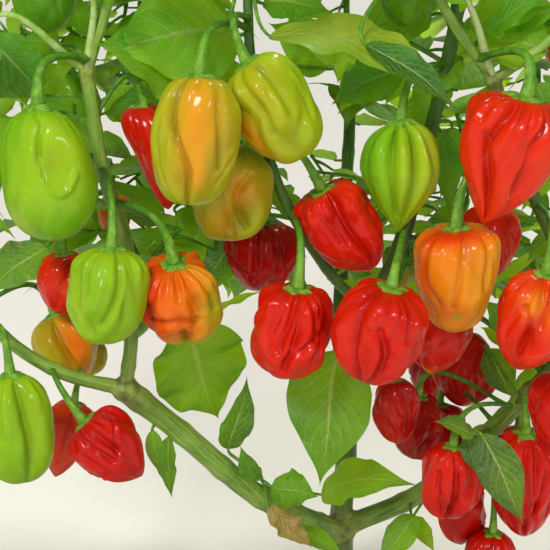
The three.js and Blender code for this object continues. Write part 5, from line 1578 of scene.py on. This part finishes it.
@lru_cache(maxsize=None)
def leaf_finish():
    """Leaf skin: tone dealt out leaf by leaf, quilted between paler veins that sink in, lit from behind, with
    painted light on one half of the blade and painted shade on the other.
    """
    look = bpy.context.scene.chilli_leaves
    finish = Finish("leaf_blade")
    place = finish.node("UVMap", {"uv_map": "UVMap"})
    u, t = (finish.node("SeparateXYZ", None, {"Vector": place}, out=axis) for axis in "XY")
    signed = u * 2 - 1
    v = abs(signed)
    tone, dry = finish.attribute("tone"), finish.attribute("dry")
    climb = (t - v * 0.3 - v * v * 0.08) * VEIN_PAIRS + signed.above(0) * 0.3
    side_vein = (1 - climb.to_nearest() / 0.085).held() * (1 - v * 0.7)
    rib = (1 - v / (0.035 + 0.05 * (1 - t))).held()
    net = finish.node("TexVoronoi", {"feature": "DISTANCE_TO_EDGE"},
                      {"Vector": finish.place(), "Scale": 330.0}, out="Distance")
    fine_net = (1 - net * 7).held()
    clouds = finish.noise(finish.place(), 38, 3)
    specks = finish.noise(finish.place(), 260, 3, 0.6)
    # signed * 0.11 is painted light on one half of the blade and painted shade on the other.
    shade = (tone + (clouds - 0.5) * 0.7 + (specks - 0.5) * 0.16 - v * 0.06 + signed * 0.11).held()
    green = finish.ramp(shade, [(0, look.deep), (0.4, look.mid), (0.75, look.bright), (1, look.young)])
    veined = finish.mix((side_vein * 0.5 + rib * 0.75 + fine_net * 0.12).held(), green, look.vein)
    brown = finish.ramp(specks, [(0.3, paint("8d6a3c")), (0.6, paint("b4905a")), (0.8, paint("7c5a36"))])
    quilt = climb.to_nearest() * (1 - v) * 1.2
    height = quilt - side_vein * 0.5 - rib * 0.6 + fine_net * -0.12 + specks * 0.2
    skin = finish.principled(
        Base_Color=finish.mix(dry, veined, brown), Roughness=0.38 + specks * 0.22,
        Normal=finish.bump(height, 0.0012, 0.6), Specular_IOR_Level=0.45, Coat_Weight=0.06,
        Coat_Roughness=0.3)
    through = finish.node("BsdfTranslucent", None, {"Color": (*look.glow, 1)})
    clear = look.clear * (1 - dry * 0.6) * (shade * 1.5 + 0.4).held()
    return finish.done(finish.node("MixShader", None, {0: clear, 1: skin, 2: through}))


def petiole_path(hold, leaf, foot, rows, lift):
    """A petiole: it leaves its twig towards the leaf, rises a little and runs into the blade along its rib.

    It ends a little inside the blade, which starts at foot.
    """
    end = foot + 0.02 * (leaf.tip - foot)
    long = np.linalg.norm(end - hold)
    rise = np.array([0, 0, lift * long])
    leaving = hold + 0.35 * (end - hold) + rise
    arriving = end - 0.3 * long * unit(leaf.tip - leaf.foot) + 0.3 * rise
    return bezier_line((hold, leaving, arriving, end), np.linspace(0, 1, rows))


def twig_runs(twigs):
    """Twigs in runs: where one forks, its second branch carries its run on and its first starts another."""
    at = {twig.place: twig for twig in twigs}
    for first in twigs:
        if first.place == 1 or first.place % 2 == 0 or (first.place - 1) // 2 not in at:
            run = [first]
            while 2 * run[-1].place + 1 in at:
                run.append(at[2 * run[-1].place + 1])
            yield run


def add_twigs(form, twigs):
    """Adds each run of twigs as one smooth tapering tube, swollen where it forks."""
    for run in twig_runs(twigs):
        radii = np.array([run[0].radii[0], *[t.radii[1] for t in run]]) * TWIG_SLIMMER
        shares = np.linspace(0, 1, 7 * len(run) + 1)
        path, _ = route_line([run[0].start, *[t.end for t in run]], shares)
        swell = 1 + 0.3 * hump((shares * len(run) + 0.5) % 1 - 0.5, 0.09) * (shares > 0.02)
        radius = np.interp(shares * len(run), np.arange(len(radii)), radii) * swell
        ridges = 1 + 0.07 * np.cos(3 * ring_turns(TWIG_SIDES))
        form.add_tube(path, radius[:, None] * ridges, TWIG_SIDES, tone=0.3 + 0.4 * shares[:, None])


class LeafLook(bpy.types.PropertyGroup):
    """Sizes and colours of the leaves."""
    rows: count_setting("Rows", "Rows of faces along a leaf that shows", 50)
    columns: count_setting("Columns", "Faces across a leaf that shows", 17)
    clear: share_setting("Light through", "Share of the light that comes through a blade", 0.5)
    deep: colour_setting("Deep green", "Colour of the darkest leaves", "1c5a12")
    mid: colour_setting("Mid green", "Colour of most leaves", "429a16")
    bright: colour_setting("Bright green", "Colour of leaves in the light", "7cbe1e")
    young: colour_setting("Yellow-green", "Colour of the palest leaves", "b6d630")
    vein: colour_setting("Veins", "Colour of the veins", "c6da84")
    glow: colour_setting("Glow", "Colour of the light that comes through", "c4ec1e")


class CHILLI_OT_shown_leaves(bpy.types.Operator):
    """Make the leaves that show from the fruiting side, with veins in relief, and their petioles"""
    bl_idname = "chilli.shown_leaves"
    bl_label = "Leaves that show"

    def execute(self, context):
        look = context.scene.chilli_leaves
        sprays, shown = grown()
        blades, petioles = Form(), Form()
        rng = np.random.default_rng(SHOWN_SEED)
        for entry, leaf in shown:
            twist, phase = rng.uniform(*SHOWN_TWIST), rng.uniform()
            bend = np.array([[entry.arch, entry.fold, entry.curl, entry.wave, twist, phase]])
            place = (leaf.foot[None], leaf.tip[None], leaf.faces[None], np.array([entry.wide], float))
            add_blades(blades, *place, bend, np.array([entry.tone]), np.array([entry.dry]), look.rows,
                       look.columns, VEIN_RELIEF)
            lift = LOW_RISE if entry.hold else RISE
            path = petiole_path(leaf.hold, leaf, leaf.foot, SHOWN_STALK_ROWS, lift)
            radius = entry.thick * np.linspace(*SHOWN_STALK_RADII, len(path))
            petioles.add_tube(path, radius, SHOWN_STALK_SIDES, tone=0.7 * entry.thick**2)
        nodes = sorted({MASS_NODE + entry.spray for entry, _ in shown})
        hand_over(blades.piece("shown_leaves", leaf_finish()), "leaf", *nodes)
        hand_over(petioles.piece("shown_petioles", cap_finish()), "stem", *nodes)
        return {"FINISHED"}


# Sprays

# How the fruit inside the crown look in turn: slot and ripeness.
SEEDED_LOOKS = (("fruit_red", 0.88), ("fruit_green", 0.08), ("fruit_orange", 0.6), ("fruit_red", 0.95))
# How far their stalks run straight on from the twig and rise straight from the cap.
SEEDED_OUT, SEEDED_UP = 6, 14
# Rows and columns of their faces: skin, cap and stalk.
INNER_SKIN, INNER_CAP, INNER_STALK = (40, 48), 30, (14, 8)
# A blade in a spray starts this far along the way from its twig to its tip.
BLADE_START = 0.22


class SprayLook(bpy.types.PropertyGroup):
    """Sizes of the sprays."""
    fine_leaf: share_setting("Fine leaves", "Size of the leaves on fine twigs beside the others", 0.74)
    rows: count_setting("Rows", "Rows of faces along a leaf", 11)
    columns: count_setting("Columns", "Faces across a leaf", 5)


def add_spray_leaves(blades, petioles, leaves, rng, look):
    """Adds the blades of a spray, each bent in its own way, and their petioles."""
    foot, tip, faces = (np.array([getattr(leaf, key) for leaf in leaves]) for key in ("foot", "tip", "faces"))
    wide = np.array([leaf.wide for leaf in leaves])
    base = foot + BLADE_START * (tip - foot)
    tone = 0.12 + 0.6 * rng.uniform(0, 1, len(leaves)) ** 1.4 + 0.25 * (wide < YOUNG_WIDTH)
    bend = BEND_LOW + (BEND_HIGH - BEND_LOW) * rng.uniform(0, 1, (len(leaves), len(BEND_LOW)))
    add_blades(blades, base, tip, faces, wide, bend, np.clip(tone, 0, 1), 0 * tone, look.rows, look.columns)
    for leaf, end in zip(leaves, base):
        path = petiole_path(leaf.foot, leaf, end, SPRAY_STALK_ROWS, RISE)
        petioles.add_tube(path, np.linspace(*SPRAY_STALK_RADII, len(path)), SPRAY_STALK_SIDES, tone=0.6)


def inner_fruit(sprays):
    """The mass, the fruit as it looks and its stalk's controls, for each fruit inside the crown."""
    found = [(name, *pair) for name, spray in sprays.items() for pair in spray.fruit]
    for number, (name, fruit, twig) in enumerate(found):
        slot, ripe = SEEDED_LOOKS[1 if fruit.at[1] < FRONT_FRUIT else number % len(SEEDED_LOOKS)]
        top, axis, _, _ = fruit_frame(fruit)
        inside = top + axis * STALK_INTO * fruit.size[0]
        controls = (twig.end, twig.end + twig.aim * SEEDED_OUT, top - axis * SEEDED_UP, inside)
        yield name, altered(fruit, ripe=ripe, slot=slot, groove=0.14, wrinkle=0.7), controls
    for name, fruit in INNER_FRUIT:
        yield name, fruit, stalk_controls(fruit)


class CHILLI_OT_sprays(bpy.types.Operator):
    """Grow the sprays: twigs, petioles, leaves and the fruit inside the crown"""
    bl_idname = "chilli.sprays"
    bl_label = "Sprays"

    def execute(self, context):
        look = context.scene.chilli_sprays
        sprays, _ = grown()
        twigs, petioles, caps = Form(), Form(), Form()
        for number, (name, spray) in enumerate(sprays.items()):
            add_twigs(twigs, spray.twigs)
            if spray.leaves:
                blades = Form()
                rng = np.random.default_rng(SPRAY_SEED + number)
                add_spray_leaves(blades, petioles, spray.leaves, rng, look)
                hand_over(blades.piece("blades_" + name, leaf_finish()), "leaf", MASS_NODE + name)
        nodes = [MASS_NODE + name for name in sprays]
        hand_over(twigs.piece("twigs", cap_finish()), "stem", *nodes)
        hand_over(petioles.piece("petioles", cap_finish()), "stem", *nodes)
        skins = {slot: (Form(), set()) for slot in FRUIT_SLOTS}
        for name, fruit, controls in inner_fruit(sprays):
            form, owners = skins[fruit.slot]
            owners.add(MASS_NODE + name)
            add_fruit(form, fruit, *INNER_SKIN)
            add_cap(caps, fruit, INNER_CAP)
            add_stalk(caps, fruit, controls, *INNER_STALK)
        for slot, (form, owners) in skins.items():
            hand_over(form.piece("inner_" + slot, skin_finish(slot)), slot, *sorted(owners))
        owners = set.union(*[owners for _, owners in skins.values()])
        hand_over(caps.piece("inner_caps", cap_finish()), "stem", *sorted(owners))
        return {"FINISHED"}


# Stage

CAMERA_AT = (-0.040, -0.6233, 0.3844)
CAMERA_PITCH = 16
CAMERA_LENS, CAMERA_SENSOR = 73.3, 36
CAMERA_CLIP = (0.01, 200)
LAMPS = (
    # name, place, aim, size, watts, colour
    ("key", (-0.5, -1.1, 1.2), (-0.02, -0.05, 0.25), 0.34, 11.5, (1, 0.98, 0.95)),
    ("front_fill", (0.7, -1.2, 0.7), (0, 0, 0.25), 0.28, 2.8, (0.95, 0.98, 1)),
    ("fleck_left", (-0.95, -0.85, 0.75), (-0.05, -0.08, 0.25), 0.11, 1.1, (1, 1, 1)),
    ("fleck_high", (0.15, -0.95, 1.5), (0, -0.08, 0.25), 0.12, 1.3, (1, 1, 1)),
    ("fleck_front", (-0.15, -1.5, 0.85), (0, -0.08, 0.22), 0.1, 1.1, (1, 1, 1)),
)
SUN_FROM = (0.5, 0.75, 1.3)
SUN_STRENGTH = 3.4
SUN_ANGLE = 20
SUN_TINT, SKY_TINT, GRAIN_CODE = (1, 0.98, 0.92), (0.94, 0.97, 1, 1), "cfccc4"


def aimed(place, target):
    """The turn that points an object's -Z from a place towards a target, its Y kept level with the sky."""
    back = unit(np.array(place, float) - np.array(target, float))
    right = unit(np.cross([0, 0, 1.0], back))
    return np.stack([right, np.cross(back, right), back], axis=1)


def settled(made, place, target):
    """Sets a lamp or camera at a place, facing a target."""
    turned = np.eye(4)
    turned[:3, :3] = aimed(place, target)
    turned[:3, 3] = place
    made.matrix_world = Matrix(turned.tolist())
    bpy.context.scene.collection.objects.link(made)
    return made


class StageLook(bpy.types.PropertyGroup):
    """The floor and the light."""
    floor: colour_setting("Floor", "Colour of the floor", "d2cfc8")
    reach: length_setting("Floor reach", "Half the side of the floor", 40)
    sky: bpy.props.FloatProperty(name="Sky", description="Strength of the even light", default=0.26, min=0)
    light: bpy.props.FloatProperty(name="Light", description="Strength of the lamps", default=1, min=0)


class CHILLI_OT_stage(bpy.types.Operator):
    """Set the plain floor, the soft studio light and the camera"""
    bl_idname = "chilli.stage"
    bl_label = "Stage"

    def execute(self, context):
        look = context.scene.chilli_stage
        finish = Finish("stage_floor")
        grain = finish.noise(finish.place(), 40, 3)
        colour = finish.mix(grain * 0.08, look.floor, paint(GRAIN_CODE))
        material = finish.done(finish.principled(Base_Color=colour, Roughness=0.7 + grain * 0.1))
        corners = [(x * look.reach, y * look.reach, 0) for x, y in ((-1, -1), (1, -1), (1, 1), (-1, 1))]
        mesh = bpy.data.meshes.new("floor")
        mesh.from_pydata(corners, [], [(0, 1, 2, 3)])
        finished("floor", mesh, material)
        context.scene.view_settings.view_transform = "Standard"

        world = bpy.data.worlds.new("studio")
        context.scene.world = world
        world.use_nodes = True
        background = world.node_tree.nodes["Background"]
        background.inputs["Color"].default_value = SKY_TINT
        background.inputs["Strength"].default_value = look.sky
        sun = bpy.data.lights.new("back_sun", "SUN")
        sun.energy, sun.angle, sun.color = SUN_STRENGTH * look.light, math.radians(SUN_ANGLE), SUN_TINT
        settled(bpy.data.objects.new("back_sun", sun), SUN_FROM, (0, 0, 0))
        for name, place, target, size, watts, tint in LAMPS:
            lamp = bpy.data.lights.new(name, "AREA")
            lamp.shape, lamp.size, lamp.energy, lamp.color = "DISK", size, watts * look.light, tint
            settled(bpy.data.objects.new(name, lamp), place, target)

        camera = bpy.data.cameras.new("camera")
        camera.sensor_width, camera.lens = CAMERA_SENSOR, CAMERA_LENS
        camera.clip_start, camera.clip_end = CAMERA_CLIP
        pitch = math.radians(CAMERA_PITCH)
        ahead = np.array(CAMERA_AT) + np.array([0, math.cos(pitch), -math.sin(pitch)])
        context.scene.camera = settled(bpy.data.objects.new("camera", camera), CAMERA_AT, ahead)
        return {"FINISHED"}


class CHILLI_PT_plant(bpy.types.Panel):
    """The plant's pieces, each with its sizes and colours"""
    bl_idname = "CHILLI_PT_plant"
    bl_label = "Chilli plant"
    bl_space_type = "VIEW_3D"
    bl_region_type = "UI"
    bl_category = "Chilli plant"

    def draw(self, context):
        for name, _, operator in STEPS:
            box = self.layout.box()
            box.label(text=operator.bl_label)
            look = getattr(context.scene, name)
            for key in look.__annotations__:
                box.prop(look, key)
            box.operator(operator.bl_idname)


# Each step's settings, by the name that the scene holds them under, and its operator.
STEPS = (
    ("chilli_stems", StemLook, CHILLI_OT_stems),
    ("chilli_fruit", FruitLook, CHILLI_OT_fruit),
    ("chilli_caps", CapLook, CHILLI_OT_caps),
    ("chilli_leaves", LeafLook, CHILLI_OT_shown_leaves),
    ("chilli_sprays", SprayLook, CHILLI_OT_sprays),
    ("chilli_stage", StageLook, CHILLI_OT_stage),
)


def register():
    for name, look, operator in STEPS:
        bpy.utils.register_class(look)
        bpy.utils.register_class(operator)
        setattr(bpy.types.Scene, name, bpy.props.PointerProperty(type=look))
    bpy.utils.register_class(CHILLI_PT_plant)


def unregister():
    bpy.utils.unregister_class(CHILLI_PT_plant)
    for name, look, operator in reversed(STEPS):
        delattr(bpy.types.Scene, name)
        bpy.utils.unregister_class(operator)
        bpy.utils.unregister_class(look)


def main():
    register()
    for _, _, operator in STEPS:
        getattr(bpy.ops.chilli, operator.bl_idname.split(".")[1])()


if __name__ == "__main__":
    main()
